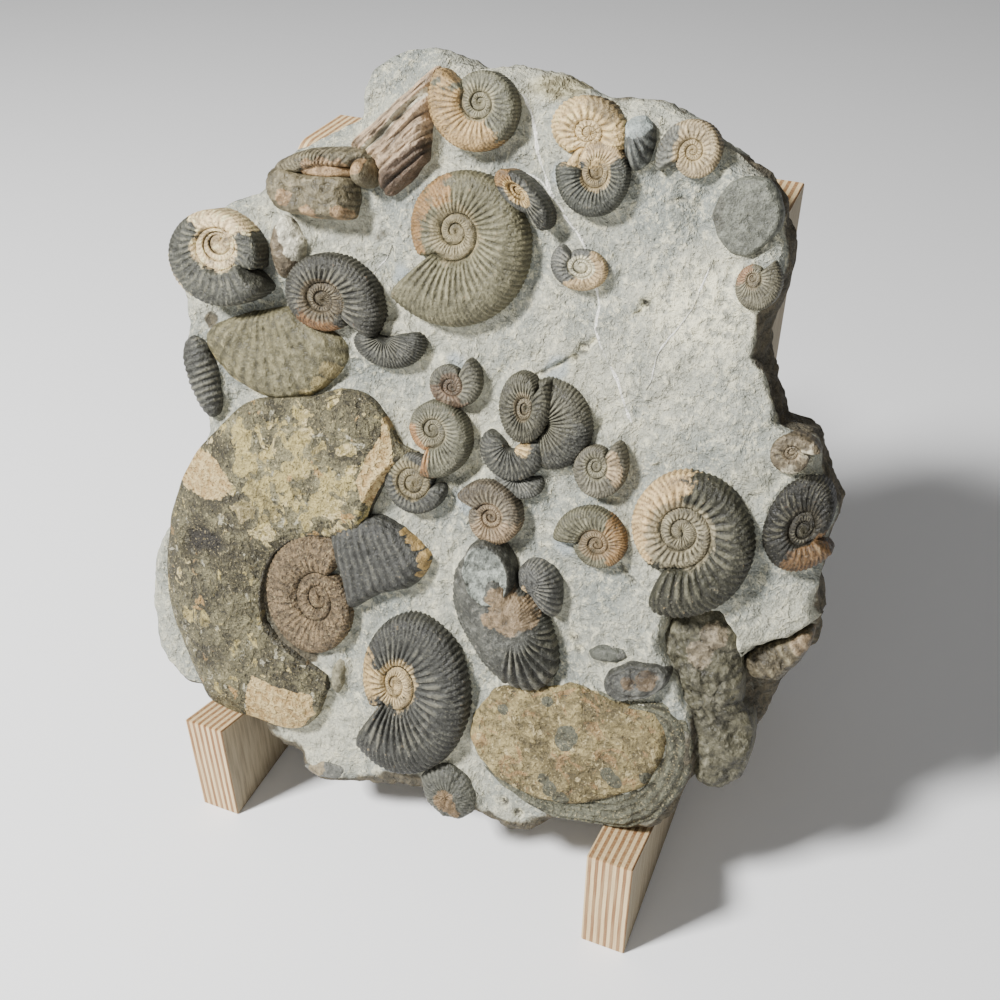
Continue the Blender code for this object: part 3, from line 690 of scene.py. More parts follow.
# Other fossils, one entry for each: a low dome on an outline
#   rise: height over the ground. shoulder: share of the dome that is rounded. relief: its bumps
#   crust: height of a cracked crust. rim: height of a raised lip. foot: its depth in the slab
#   streaks: ribs a turn, depth and the hub that they run from. fade: plain distance round the hub
#   sector: angle and half width that keep their ribs. bands: direction, spacing and depth
#   steps: rings from the middle to the edge, and depth. teeth: number and depth round the edge
#   grain: places of the pale groove and of the dark crack in the wood, across its grain
#   part: third colour's share, and how far out it goes. step: spacing of the points
#   level: height of the ground, if not the slab's. tilt: slope along u and v
#   colours: main, patches, third, and how mottled they are. patches: u, v and radius
SHELLS = {
    "grey_flat_shell": dict(
        outline=[(81.2, 236), (82.7, 243), (85.6, 248), (91, 250), (97, 250), (101, 246.5),
                 (103.8, 240.5), (103.6, 235), (99, 228.5), (95, 225), (90, 225), (84.5, 230)],
        centre=(93, 237.5), rise=3.6, shoulder=0.12, relief=0.8, slot="grey_fossil",
        colours=((0.42, 0.425, 0.38), (0.34, 0.34, 0.30), SLATE, 0.8),
        patches=[(82.5, 240, 3), (83, 234, 3)]),
    "small_dark_shell": dict(
        outline=[(64, 73.5), (67, 76), (72, 78), (78, 77.5), (79, 75), (76, 72), (70, 70.5),
                 (65.5, 70.5)],
        centre=(71.5, 74), rise=3.6, shoulder=0.9, relief=0.3, slot="dark_fossil",
        colours=((0.33, 0.335, 0.30), SLATE, SLATE, 0.4), patches=[(77, 75, 2)]),
    "lower_shell_mass": dict(
        outline=[(86, 84), (93, 92), (101, 97), (109, 101), (117, 90), (120.5, 75), (122, 64),
                 (127, 58), (129, 47), (128, 35), (121, 28), (114, 27), (107, 35), (103, 48),
                 (98.5, 57), (95, 65), (90, 71), (86.5, 77)],
        centre=(109, 63), rise=8, shoulder=0.75, relief=5.0, crust=0.8, level=FRONT - 10.5,
        foot=DEEP_FOOT, slot="brown_fossil",
        colours=((0.37, 0.355, 0.28), (0.54, 0.49, 0.40), SLATE, 0.9),
        patches=[(108, 90, 5), (104, 82, 5)]),
    "brown_ledge": dict(
        outline=[(119, 80), (122.6, 86), (132, 92), (138, 97), (141, 97), (141, 92), (138.5, 85),
                 (133.4, 77), (126.7, 74), (122, 75)],
        centre=(131, 84), rise=5, shoulder=0.6, relief=2.5, crust=1.0, level=FRONT - 14.0,
        foot=DEEP_FOOT, bands=(45, 4.0, 0.5), slot="brown_fossil",
        colours=((0.42, 0.38, 0.29), (0.56, 0.48, 0.37), BROWN, 0.8), patches=[(138, 93, 4)]),
    "smooth_shell_fragment": dict(
        outline=[(-108, 161), (-102, 167), (-88, 174), (-69, 179.6), (-59.4, 176), (-45.4, 171),
                 (-44.5, 162.6), (-48.9, 156.6), (-57.5, 147.4), (-71.4, 142.3), (-83.5, 143),
                 (-94.8, 147), (-103.7, 154)],
        centre=(-77, 161), rise=7, shoulder=0.45, relief=1.3, streaks=(44, 0.38, (-82, 189)),
        slot="olive_fossil", colours=((0.44, 0.415, 0.30), (0.62, 0.56, 0.38), OLIVE, 0.8),
        patches=[(-80, 142.5, 2), (-86, 143.5, 2.5), (-92, 146, 2.5), (-98, 149, 2.5), (-103, 153, 2.5),
                 (-50, 159, 4), (-54, 152, 4), (-60, 147, 3)]),
    "inner_dark_ammonite": dict(
        outline=[(-45.8, 92.9), (-39.8, 100.7), (-32.3, 104.5), (-24.7, 106), (-15.4, 103), (-7.2, 98),
                 (-1.8, 94), (-4.7, 86), (-9.2, 79.7), (-21.6, 73.6), (-29, 67.6), (-35.3, 61.8),
                 (-37.5, 72), (-41, 78.7), (-44, 85.6)],
        centre=(-25, 87), rise=8.5, shoulder=0.5, relief=0.8, streaks=(110, 0.5, (-52, 142)),
        slot="dark_fossil", colours=((0.265, 0.265, 0.245), (0.72, 0.60, 0.38), BROWN, 0.5),
        patches=[(-14, 102.4, 1.3), (-11, 100.2, 1.6), (-8, 98, 1.7), (-4.5, 94.5, 2.0),
                 (-3.5, 91, 2.2), (-5, 87, 1.8)]),
    "fossil_wood": dict(
        outline=[(-17, 272), (-21, 270), (-25.7, 264), (-32.6, 258), (-38.3, 252.5), (-42.5, 248),
                 (-47, 244), (-50, 240), (-45, 238.5), (-39.4, 237), (-36.7, 233), (-36.3, 229),
                 (-35.9, 226), (-33, 225), (-29.7, 227.5), (-25.4, 231), (-22, 235), (-18.5, 240),
                 (-19, 248), (-19, 258), (-18, 266)],
        centre=(-30, 247), rise=9, shoulder=0.5, relief=1.0, step=0.45, grain=(-200.0, -185.5),
        slot="fossil_wood", colours=((0.72, 0.62, 0.50), (0.36, 0.29, 0.225), (0.76, 0.74, 0.65))),
    "brown_shell_fragment": dict(
        outline=[(-80, 201), (-78.4, 208), (-75.2, 213), (-70.6, 211), (-64.4, 204.4), (-66, 197),
                 (-72.6, 189), (-76, 190)],
        centre=(-72.5, 202), rise=7, shoulder=0.7, relief=1.5, slot="brown_fossil",
        colours=((0.45, 0.40, 0.32), (0.82, 0.80, 0.71), BROWN, 0.9),
        patches=[(-69, 206, 5), (-67, 201, 4.5), (-74, 210, 3)]),
    "bluish_shell_fragment": dict(
        outline=[(48.4, 260.5), (51, 263), (54.7, 264), (58.6, 261), (59.6, 256), (58, 249), (54, 246),
                 (50.8, 249.5), (49, 254.8)],
        centre=(54, 255), rise=6.5, shoulder=0.85, relief=0.7, streaks=(30, 0.8, (49, 263)), fade=6.0,
        slot="grey_fossil", colours=((0.36, 0.37, 0.35), BLUISH, SLATE), patches=[(53, 261, 4.5)]),
    "bottom_edge_shell": dict(
        outline=[(-52, -17), (-44, -20), (-34, -18), (-31, -12), (-42, -11)],
        centre=(-41, -15), rise=3, shoulder=0.7, relief=1.0, slot="grey_fossil",
        colours=(SLATE, BROWN, SLATE), patches=[(-44, -15, 4)]),
    "small_olive_shell": dict(
        outline=[(-41, 25), (-38, 22), (-35, 28), (-35, 38), (-38, 40), (-41, 34)],
        centre=(-38, 31), rise=4, shoulder=0.7, slot="olive_fossil", colours=(OLIVE, TAN, OLIVE)),
    "edge_on_ammonite": dict(
        outline=[(-117, 152), (-116, 158), (-112, 161), (-106, 157), (-101, 148), (-98.5, 138),
                 (-99, 131), (-103, 128), (-107, 131), (-112, 139), (-115, 146)],
        centre=(-107.5, 144), rise=7, shoulder=0.9, relief=0.3, bands=(-62, 2.5, 0.9), foot=DEEP_FOOT,
        slot="dark_fossil", colours=(CHARCOAL, SLATE, CHARCOAL)),
    "bottom_edge_ammonite": dict(
        outline=[(3, -3), (8, 5), (15, 7.5), (23, 4), (28, -3), (28, -11), (22, -17), (14, -18),
                 (7, -13)],
        centre=(16, -6), rise=5.5, shoulder=0.8, relief=1.2, crust=0.8, streaks=(36, 0.5, (17, -8)),
        slot="brown_fossil", colours=((0.35, 0.35, 0.31), (0.52, 0.43, 0.31), BROWN),
        patches=[(16, -9, 5), (20, -13, 3)]),
    "half_disc_ammonite": dict(
        outline=[(33.4, 99.5), (36.5, 103.6), (41.3, 105), (46.5, 103), (50, 99), (51.7, 91.4),
                 (51.2, 84.6), (47.7, 83.5), (44.4, 86), (39.4, 91), (34.3, 93)],
        centre=(43, 95), rise=9, shoulder=0.9, relief=0.5, streaks=(40, 0.8, (37, 96)),
        slot="grey_fossil", colours=((0.36, 0.36, 0.34), TAN, SLATE), patches=[(38, 94, 1.6)]),
}

# Outlines of the fossils that are made of several surfaces
STANDING_BODY = [(8.5, 90), (9.8, 95), (13, 100.6), (17.6, 104.4), (22, 105), (26.5, 102.8), (30, 98.6),
                 (33, 93), (38, 91), (43, 87.4), (47.4, 81), (50.5, 74.6), (52.7, 69), (53.6, 62.6),
                 (51.5, 57.3), (47.7, 53.4), (42.8, 51.4), (37.4, 52), (32.8, 52.8), (28.2, 54.7),
                 (23.9, 58.5), (19.6, 63), (15, 68.7), (11.4, 74.6), (9.2, 81)]
THICK_BLOCK = [(-74, 230.5), (-64.7, 229), (-57.5, 230), (-49.5, 230.5), (-45.4, 229.4), (-44.5, 222.6),
               (-45.5, 215), (-56.3, 214), (-69.6, 214), (-76, 215), (-80.5, 219.5), (-82, 224.5),
               (-80, 229)]
THICK_BAND = [(-80, 227), (-79, 230.5), (-71, 235), (-64, 238), (-52, 240), (-41, 240.5), (-36.5, 238),
              (-43.6, 234.5), (-50, 233), (-61, 231.5), (-66.4, 229), (-73, 227)]
FLAT_BROWN = [(21.5, 24), (22.6, 34), (29.9, 47), (40, 51.5), (50, 54), (59.7, 58.5), (68.5, 57.5),
              (77, 56.3), (95, 57.6), (98.5, 52), (99.3, 40.5), (95, 25), (83.6, 15.7), (68.7, 7),
              (55.4, 4.5), (46, 4.5), (33.4, 9), (26, 15.3)]
FLAT_RIM = [(24, 18), (21.5, 33), (30, 47), (50, 54), (60, 58), (80, 57.5), (95, 60), (100, 61),
            (104, 57), (107.8, 48.5), (109.5, 36.7), (107, 24), (101, 12), (91, 4), (76.5, 0.5),
            (62, -2), (50, 0), (38, 4), (29, 10)]
BROWN_LUMP = [(71.7, 63), (73.7, 68.8), (80.6, 74), (90, 76), (96, 74.6), (95.7, 69), (90, 62.5),
              (79.4, 58), (73.3, 59)]

# Spacing of a shell's points
SHELL_STEP = 0.75


def ellipse(centre, long, short, turn, count=40):
    """Points round an ellipse."""
    a = np.linspace(0, TAU, count, endpoint=False)
    c, s = math.cos(math.radians(turn)), math.sin(math.radians(turn))
    x, y = long * np.cos(a), short * np.sin(a)
    return np.stack([centre[0] + x * c - y * s, centre[1] + x * s + y * c], -1)


def shell_face(u, v, t, relief, crust, steps, streaks, sector, fade, bands, grain, seed):
    """What a shell's face carries: bumps, and shares of ribs (painted highlight), valleys (painted
    shade), groove and dark.
    """
    bumps = relief * (fbm(u, v, 9.0, 4, seed + 20) + 0.3 * fbm(u, v, 2.5, 2, seed + 24))
    rib = np.zeros_like(u)
    valley = np.zeros_like(u)
    middle = np.zeros_like(u)
    dark = np.zeros_like(u)
    if crust:
        fold = np.abs(fbm(u + 3 * fbm(u, v, 9.0, 2, seed + 3), v, 8.0, 4, seed + 4))
        bumps = bumps + crust * (0.5 - 2.2 * np.exp(-fold * 9) * 0.6)
        valley = np.maximum(valley, np.exp(-fold * 14))
    if steps:
        turn = TAU * (steps[0] * t + 0.9 * fbm(u, v, 22.0, 4, seed + 8))
        bumps = bumps + steps[1] * np.cos(turn)
        valley = np.maximum(valley, (0.5 - 0.5 * np.cos(turn)) ** 2 * smooth(75, 95, u))
    if streaks:
        count, depth, hub = streaks
        bend = np.arctan2(v - hub[1], u - hub[0])
        away = np.hypot(u - hub[0], v - hub[1])
        phase = bend * count + 0.05 * away + 1.2 * fbm(u, v, 10.0, 2, seed)
        rib = 1 - (0.5 - 0.5 * np.cos(phase)) ** 2.0
        rib = rib * smooth(fade, fade + 5.0, away) if fade else rib
        if sector:
            turn = (np.degrees(bend) - sector[0] + 180) % 360 - 180
            rib = rib * smooth(sector[1], sector[1] - 20, np.abs(turn))
        bumps = bumps + depth * rib
        rib_mark = rib * min(1.0, depth / 0.7)
        valley = (1 - rib) ** 1.3 * min(1.0, depth / 0.7)
        valley = valley * (smooth(fade, fade + 5.0, away) if fade else 1)
        valley = valley * (smooth(sector[1], sector[1] - 20, np.abs(turn)) if sector else 1)
        rib = rib_mark
    if bands:
        turn, gap, depth = bands
        along = u * math.cos(math.radians(turn)) + v * math.sin(math.radians(turn))
        rib = 1 - (0.5 - 0.5 * np.cos(TAU * along / gap + 0.3 * fbm(u, v, 4.0, 2, seed))) ** 1.6
        bumps = bumps + depth * rib
        valley = np.maximum(valley, (1 - rib) ** 1.3 * min(1.0, depth / 0.7))
    if grain:
        # Grain at 45 degrees, with a pale groove and a dark crack along it
        along = (u + v) / math.sqrt(2)
        across = (u - v) / math.sqrt(2) + 0.8 * fbm(u, v, 12.0, 2, seed + 6)
        lines = fbm(along * 0.12, across, 1.3, 3, seed + 5)
        folds = fbm(along * 0.15, across, 4.5, 3, seed + 9)
        groove = np.exp(-((across - grain[0]) / 1.5) ** 2)
        split = np.exp(-((across - grain[1] + 0.8 * folds) / 0.6) ** 2)
        rib = np.clip(lines, 0, 1)
        # valley: painted shade in the low grain lines and in the crack.
        valley = np.clip(-2.8 * lines, 0, 0.85) + split
        bumps = bumps + 2.4 * lines + 1.2 * folds - 2.4 * groove - 2.0 * split
        middle = smooth(0.25, 0.7, groove + 0.4 * folds)
        dark = smooth(grain[1] - 6.0, grain[1] - 1.0, across + 4 * folds)
    return bumps, rib, valley, middle, dark


def shell_surface(outline, centre, rise, shoulder, relief=0.5, streaks=None, bands=None, grain=None,
                  teeth=None, patches=(), tilt=(0, 0), rim=0.0, fade=0.0, sector=None, crust=0.0,
                  steps=None, step=SHELL_STEP, foot=FOOT, level=None, part=(0.0, 0.0), seed=1):
    """A low dome on an outline: points of the slab's frame, faces and masks."""
    outline = np.array(outline, float)
    size = np.ptp(outline, 0).max()
    angles = np.linspace(0, TAU, int(np.clip(3.2 * size / step, 110, 360)), endpoint=False)
    reach = soften(reach_to(outline, centre, angles), max(4, len(angles) // 25))
    reach = reach + 0.5 * fbm(np.cos(angles) * reach, np.sin(angles) * reach, 5.0, 3, seed)
    if teeth:
        reach = reach + teeth[1] * (0.5 + 0.5 * np.cos(angles * teeth[0]))
    rings = int(np.clip(size / 2 / step, 18, 70))
    t = np.linspace(0.01, 1, rings)[:, None]
    u, v = polar(centre, t * reach, angles)
    ground = slab_level(*centre) if level is None else level
    over = np.clip((t - (1 - shoulder)) / shoulder, 0, 1)
    dome = 0.35 + 0.65 * np.sqrt(1 - over ** 2 * 0.98)
    bumps, rib, valley, middle, dark = shell_face(
        u, v, t, relief, crust, steps, streaks, sector, fade, bands, grain, seed)
    lip = np.exp(-((t - 0.88) / 0.07) ** 2)
    w = ground + (rise * dome + bumps) * (1 - 0.25 * over ** 4) + rim * lip * np.ones_like(u)
    points = [np.stack([u, v, w], -1)]
    wall = (0.3, 0.65, 1.0)
    for down in wall:
        height = w[-1] * (1 - down) + (ground - foot) * down
        out = 1 + 0.01 * math.sin(math.pi * down)
        points.append(np.stack([*polar(centre, out * reach, angles), height], -1)[None])
    points = np.concatenate(points)
    points[..., 2] += tilt[0] * (points[..., 0] - centre[0]) + tilt[1] * (points[..., 1] - centre[1])
    tint = np.zeros(points.shape[:2])
    blotch = fbm(points[..., 0], points[..., 1], 4.0, 3, seed + 40)
    for pu, pv, size in patches:
        away = np.hypot(points[..., 0] - pu, points[..., 1] - pv) + 1.2 * blotch
        tint = np.maximum(tint, smooth(size * 1.3, size * 0.7, away))
    rows, count = points.shape[:2]
    tint[:rings] = np.maximum(tint[:rings], dark)
    tint[rings:] = np.maximum(tint[rings:], dark[-1])
    inner = np.full((rows, count), part[0])
    inner[:rings] = np.maximum(inner[:rings], middle)
    if part[1]:
        inner = part[0] * smooth(part[1] + 0.06, part[1] - 0.06, np.arange(rows) / (rings - 1))[:, None]
        inner = np.repeat(inner, count, 1)
    # rib marks crests for a painted highlight, valley the hollows for painted shade, and seam paints
    # shade down the wall rows towards the foot.
    masks = {
        "rib": np.concatenate([rib, np.repeat(rib[-1:], len(wall), 0)]),
        "valley": np.clip(np.concatenate([valley, np.repeat(valley[-1:], len(wall), 0)]), 0, 1),
        "seam": np.concatenate([np.zeros_like(rib), np.outer((0.15, 0.4, 0.8), np.ones(count))]),
        "tint": tint,
        "inner": inner,
    }
    flat = points.reshape(-1, 3)
    flat = np.concatenate([flat, [flat[:count].mean(0)]])
    tris = fan_faces(np.arange(count), len(flat) - 1)
    masks = {key: np.append(value.ravel(), value[0].mean()) for key, value in masks.items()}
    return flat, grid_faces(rows, count, closed=True)[:, ::-1], tris, masks


def joined(*parts):
    """Several surfaces as one."""
    start, points, quads, tris = 0, [], [], []
    for part in parts:
        points.append(part[0])
        quads.append(part[1] + start)
        tris.append(part[2] + start)
        start += len(part[0])
    masks = {key: np.concatenate([part[3][key] for part in parts]) for key in parts[0][3]}
    return np.concatenate(points), np.concatenate(quads), np.concatenate(tris), masks


def make_shells():
    """Every fossil of SHELLS."""
    for number, (name, spec) in enumerate(SHELLS.items()):
        spec = dict(spec)
        slot, colours = spec.pop("slot"), spec.pop("colours")
        make_fossil(name, fossil_material(name, *colours), shell_surface(seed=number + 60, **spec))


def make_standing():
    """Upright ammonite: smooth left flank, worn middle, ribbed right flank and infilled mouth."""
    body = shell_surface(STANDING_BODY, (32, 77), 12.5, 0.85, relief=1.2, streaks=(34, 1.7, (37, 79)),
                         sector=(-48, 62), fade=5.0, teeth=(64, 0.6), seed=80,
                         patches=[(31, 87, 6), (38, 86.5, 4.5), (34, 80, 5), (41, 83, 4), (28, 80, 3.5)])
    mouth = shell_surface(ellipse((23.4, 96.2), 13.2, 9.0, 112), (23.4, 96.2), 4.0, 0.2, relief=0.9,
                          rim=1.2, level=FRONT + 7.2, foot=9.0, part=(1.0, 0.87), tilt=(-0.22, -0.12),
                          seed=81)
    colours = ((0.31, 0.31, 0.28), (0.50, 0.425, 0.32), (0.59, 0.61, 0.57), 0.9)
    make_fossil("standing_dark_ammonite",
                fossil_material("standing_dark_ammonite", *colours), joined(body, mouth))


def make_thick():
    """Thick ammonite seen from its side: a block, the band over it, the stone between and a bulb."""
    block = shell_surface(THICK_BLOCK, (-62, 223), 12.5, 0.4, relief=2.2, crust=0.9, fade=13.0,
                          streaks=(48, 0.7, (-62, 224)), tilt=(0.0, -0.12), seed=82,
                          patches=[(-60, 215, 4), (-48, 217, 3), (-70, 220, 3)])
    band = shell_surface(THICK_BAND, (-58, 234.5), 11.0, 0.8, relief=1.2, streaks=(54, 0.6, (-60, 222)),
                         patches=[(-62, 231.5, 3), (-56, 232.5, 3.5), (-50, 233, 3)], seed=83)
    filling = shell_surface(ellipse((-57.5, 231.2), 12.5, 3.4, 4), (-57.5, 231.2), 9.5, 0.6, relief=1.2,
                            patches=[(-60, 231.5, 6), (-52, 232, 6)], seed=88)
    bulb = shell_surface(ellipse((-42, 232.6), 5.8, 4.9, 100), (-42, 232.6), 12.5, 0.95, relief=0.6,
                         patches=[(-43, 235, 3.5)], seed=84)
    colours = ((0.445, 0.41, 0.315), (0.61, 0.50, 0.36), BROWN, 0.95)
    make_fossil("thick_oblique_ammonite",
                fossil_material("thick_oblique_ammonite", *colours), joined(block, band, filling, bulb))


def make_lump():
    """Dark brown lump with a hollow middle."""
    lump = shell_surface(BROWN_LUMP, (84, 66), 6.5, 0.7, relief=1.6, rim=1.5, crust=0.6,
                         patches=[(88, 70, 4), (82, 67, 3)], seed=85)
    colours = ((0.32, 0.32, 0.295), (0.38, 0.32, 0.24), BROWN, 0.9)
    make_fossil("brown_shell_lump", fossil_material("brown_shell_lump", *colours), lump)


def make_flat_brown():
    """Flat worn ammonite in its outer rim."""
    flat = shell_surface(FLAT_BROWN, (60, 31), 4.0, 0.12, relief=1.2, crust=0.35, seed=86,
                         patches=[(62, 37, 4.5), (61, 34, 4), (35, 40, 2.4), (80, 26, 3), (83, 24, 3),
                                  (94, 29, 2.2), (52, 49, 2.2), (58, 12, 3), (63, 9, 3), (55, 15, 2.2)])
    # Darker towards the right: the valley mask is raised from u 50 to 95.
    flat[3]["valley"] = np.maximum(flat[3]["valley"], 0.5 * smooth(50, 95, flat[0][:, 0]))
    rim = shell_surface(FLAT_RIM, (62, 31), 1.6, 0.12, relief=1.2, steps=(13, 0.5), rim=1.6, foot=9.0,
                        part=(1.0, 0.0), seed=87)
    colours = ((0.60, 0.54, 0.37), (0.40, 0.355, 0.235), (0.36, 0.36, 0.30), (0.74, 0.68, 0.51))
    make_fossil("flat_brown_ammonite", blotched_material("flat_brown", *colours),
                joined(flat, rim))


# Giant ammonite, seen from its middle: the outer edge and the edge round its umbilicus
GIANT_MIDDLE = (-49, 62)
GIANT_OUTER = [(-43, 24), (-44, 12), (-50, 4), (-57, 1.5), (-68, 1.5), (-86, 1.5), (-97, 3), (-102, 12),
               (-108, 22), (-114, 34), (-119, 48), (-120, 61), (-119, 81), (-114, 100), (-106, 116),
               (-99, 124), (-88, 137), (-82, 141), (-70, 144), (-57, 147), (-47, 152), (-39, 153),
               (-32, 151), (-27, 147), (-19, 135), (0, 135), (0, 24)]
GIANT_INNER = [(-43, 30), (-50, 32), (-58.8, 36), (-67.6, 39.5), (-73.5, 46), (-75.5, 57.4),
               (-74, 68.7), (-70.5, 77.7), (-64, 84.7), (-54.5, 90), (-46, 92), (-40, 93), (-33, 94),
               (-10, 94), (-10, 30)]
GIANT_SPAN = (63.0, 281.0)
GIANT_COLUMNS = 310
GIANT_ROWS = 90
GIANT_PITS = [(-105, 76, 7.5), (-97, 77, 6.0), (-101, 79, 5.0)]

# Pinkish and ochre patches on it
WEDGE = [(-27, 153), (-22, 139), (-19, 128), (-23, 115), (-29, 109), (-33, 120), (-27, 137)]
OCHRE = [(-74, 24), (-66, 22), (-47, 21), (-46, 12), (-50, 5), (-57, 0), (-79, 0), (-77, 12)]


def giant_masks(points, pits):
    """Where the giant's pits and walls lie, for painted shade, and its pale and warm patches."""
    shape = points.shape[:2]
    wall = np.zeros(shape)
    wall[:3] = 1.0
    wall[-3:] = 0.5
    full = np.zeros(shape)
    full[1:-3] = pits
    uu, vv = points[..., 0], points[..., 1]
    cloud = fbm(uu, vv, 14.0, 3, 93)
    pale = smooth(70, 108, vv) * smooth(-106, -78, uu) * smooth(140, 128, vv)
    pale = smooth(0.2, 0.8, pale + 0.5 * cloud)
    ochre = smooth(2.5, -2.5, distance_inside(uu, vv, OCHRE) + 1.5 * cloud)
    pink = smooth(16, 6, np.hypot((uu + 104) * 0.8, (vv - 106) * 1.3) + 5 * cloud)
    pink = np.maximum(pink, smooth(2.0, -2.0, distance_inside(uu, vv, WEDGE) + 3.0 * cloud))
    masks = {"pit": full, "wall": wall, "pale": pale, "ochre": np.maximum(ochre, pink)}
    return {key: value.ravel() for key, value in masks.items()}


def make_giant():
    """The giant ammonite: a smooth swollen outer whorl round a small ribbed coil."""
    angles = np.radians(np.linspace(*GIANT_SPAN, GIANT_COLUMNS))
    outer = reach_to(GIANT_OUTER, GIANT_MIDDLE, angles)
    inner = reach_to(GIANT_INNER, GIANT_MIDDLE, angles)
    # Both edges softened, with their ends kept
    for values in (outer, inner):
        for _ in range(10):
            values[1:-1] = 0.25 * values[:-2] + 0.5 * values[1:-1] + 0.25 * values[2:]
    t = np.linspace(0, 1, GIANT_ROWS)[:, None]
    reach = inner + (outer - inner) * t
    reach = reach + 0.4 * fbm(np.cos(angles) * reach, np.sin(angles) * reach, 6.0, 3, 89)
    # Shallow turn of the mouth's edge
    sweep = angles + math.radians(4.0) * np.sin(math.pi * t) * smooth(math.radians(75), angles[0], angles)
    u, v = polar(GIANT_MIDDLE, reach, sweep)
    swell = np.sin(math.pi * np.clip(0.06 + 0.84 * t, 0, 1)) ** 0.5
    ends = smooth(0, 0.05, (angles - angles[0])) * smooth(0, 0.5, angles[-1] - angles)
    top = 1.2 + 8.6 * swell * (0.45 + 0.55 * ends)
    ribs = np.sin(18 * angles + 2.0 * t) * 0.25 * smooth(0.3, 0.9, t)
    top = top + 0.9 * fbm(u, v, 34.0, 3, 90) + 0.35 * fbm(u, v, 7.0, 4, 91) + ribs
    pits = np.zeros_like(u)
    for pu, pv, size in GIANT_PITS:
        away = np.hypot(u - pu, v - pv) + 1.2 * fbm(u, v, 4.0, 3, 92)
        pits = np.maximum(pits, smooth(size * 1.3, size * 0.4, away))
    top = top - 2.6 * pits
    rows = [np.stack([u, v, FRONT + top], -1)]
    for down in (0.3, 0.65, 1.0):
        rows.append(np.stack([u[-1], v[-1], FRONT + top[-1] * (1 - down) - FOOT * down], -1)[None])
    rows.insert(0, np.stack([u[0], v[0], np.full_like(u[0], FRONT - FOOT)], -1)[None])
    points = np.concatenate(rows)
    count = len(angles)
    masks = giant_masks(points, pits)
    quads = grid_faces(len(points), count)[:, ::-1]
    outer_part = points.reshape(-1, 3), quads, NO_TRIANGLES, masks
    # The mouth's edge and the other end drop to the slab
    skirts = []
    for column, flip in ((0, False), (count - 1, True)):
        edge = points[1:-1, column]
        low = edge.copy()
        low[:, 2] = FRONT - FOOT
        strip = np.concatenate([edge, low])
        faces = grid_faces(2, len(edge))
        # The skirts take the full wall mask, for painted shade.
        plain = {key: np.full(len(strip), 1.0 if key == "wall" else 0.0) for key in masks}
        skirts.append((strip, faces[:, ::-1] if flip else faces, NO_TRIANGLES, plain))
    giant = joined(outer_part, *skirts)
    coil = coil_surface(box=(-73, -35, 38, 92), eye=(-47.5, 65.5), aperture=62, sense=-1, growth=2.0,
                        ribs=38, rise=7, overlap=0.2, columns=20, level=FRONT + 0.3, samples=8,
                        dish=0.7, rib_depth=0.055, seed=33)
    spread = {key: np.zeros(len(coil[0])) for key in masks}
    coil_masks = {**spread, **coil[3], "coil": np.ones(len(coil[0]))}
    zero = np.zeros(len(giant[0]))
    shell_masks = {key: giant[3].get(key, zero) for key in coil_masks}
    whole = joined((*giant[:3], shell_masks), (*coil[:3], coil_masks))
    make_fossil("giant_ammonite", giant_material(), whole)


def blotched_material(name, main, dark, patch, pale):
    """Worn shell with sharp-edged stains and grey patches."""
    s = Shader(name)
    main, dark, patch, pale = (linear(c) for c in (main, dark, patch, pale))
    fine = s.noise(2.6, 3.0, 0.6)
    grain = s.noise(0.9, 2.0, 0.6)
    blotch = s.noise(7.0, 5.0, 0.65, distort=0.4)
    cloud = s.noise(18.0, 5.0, 0.65, distort=0.4)
    mixed = s.math("ADD", s.times(blotch, 0.65), s.times(fine, 0.35))
    colour = s.mix(s.span(cloud, 0.4, 0.6), main, dark)
    colour = s.lay(colour, mixed, 0.53, 0.58, 0.7, shade(main, 1.45))
    colour = s.lay(colour, mixed, 0.47, 0.4, 0.75, shade(dark, 0.6))
    stain = s.noise(9.0, 4.0, 0.65, s.stretch(1.0, 1.3, 0.9), 0.6)
    colour = s.lay(colour, stain, 0.56, 0.61, 0.6, (0.36, 0.21, 0.09))
    spots = s.noise(4.0, 3.0, 0.6, s.stretch(1.3, 1.0, 0.8))
    colour = s.lay(colour, spots, 0.6, 0.65, 0.8, pale)
    edge = s.ragged("tint", fine, 1.0)
    colour = s.mix(s.span(edge, 0.45, 0.55), colour, s.mix(fine, shade(patch, 1.2), shade(patch, 0.6)))
    rim = s.mix(s.span(mixed, 0.42, 0.58), shade(patch, 0.55), shade(patch, 1.25))
    colour = s.mix(s.mask("inner"), colour, rim)
    # Painted shade: darker in the valleys and dark down the walls to the foot; the valley mask also holds
    # the flat's darker right half.
    colour = s.mix(s.times(s.mask("valley"), 0.6), colour, shade(dark, 0.25))
    colour = s.mix(s.mask("seam"), colour, (0.04, 0.034, 0.024))
    colour = s.lay(colour, grain, 0.56, 0.72, 0.5, pale)
    colour = s.lay(colour, grain, 0.44, 0.3, 0.7, (0.06, 0.05, 0.035))
    normal = s.bump(grain, 0.6, 1.0)
    normal = s.bump(fine, 2.0, 1.0, normal)
    normal = s.bump(blotch, 2.5, 0.8, normal)
    return s.finish(colour, s.span(fine, 0.3, 0.7, 0.5, 0.8), normal)


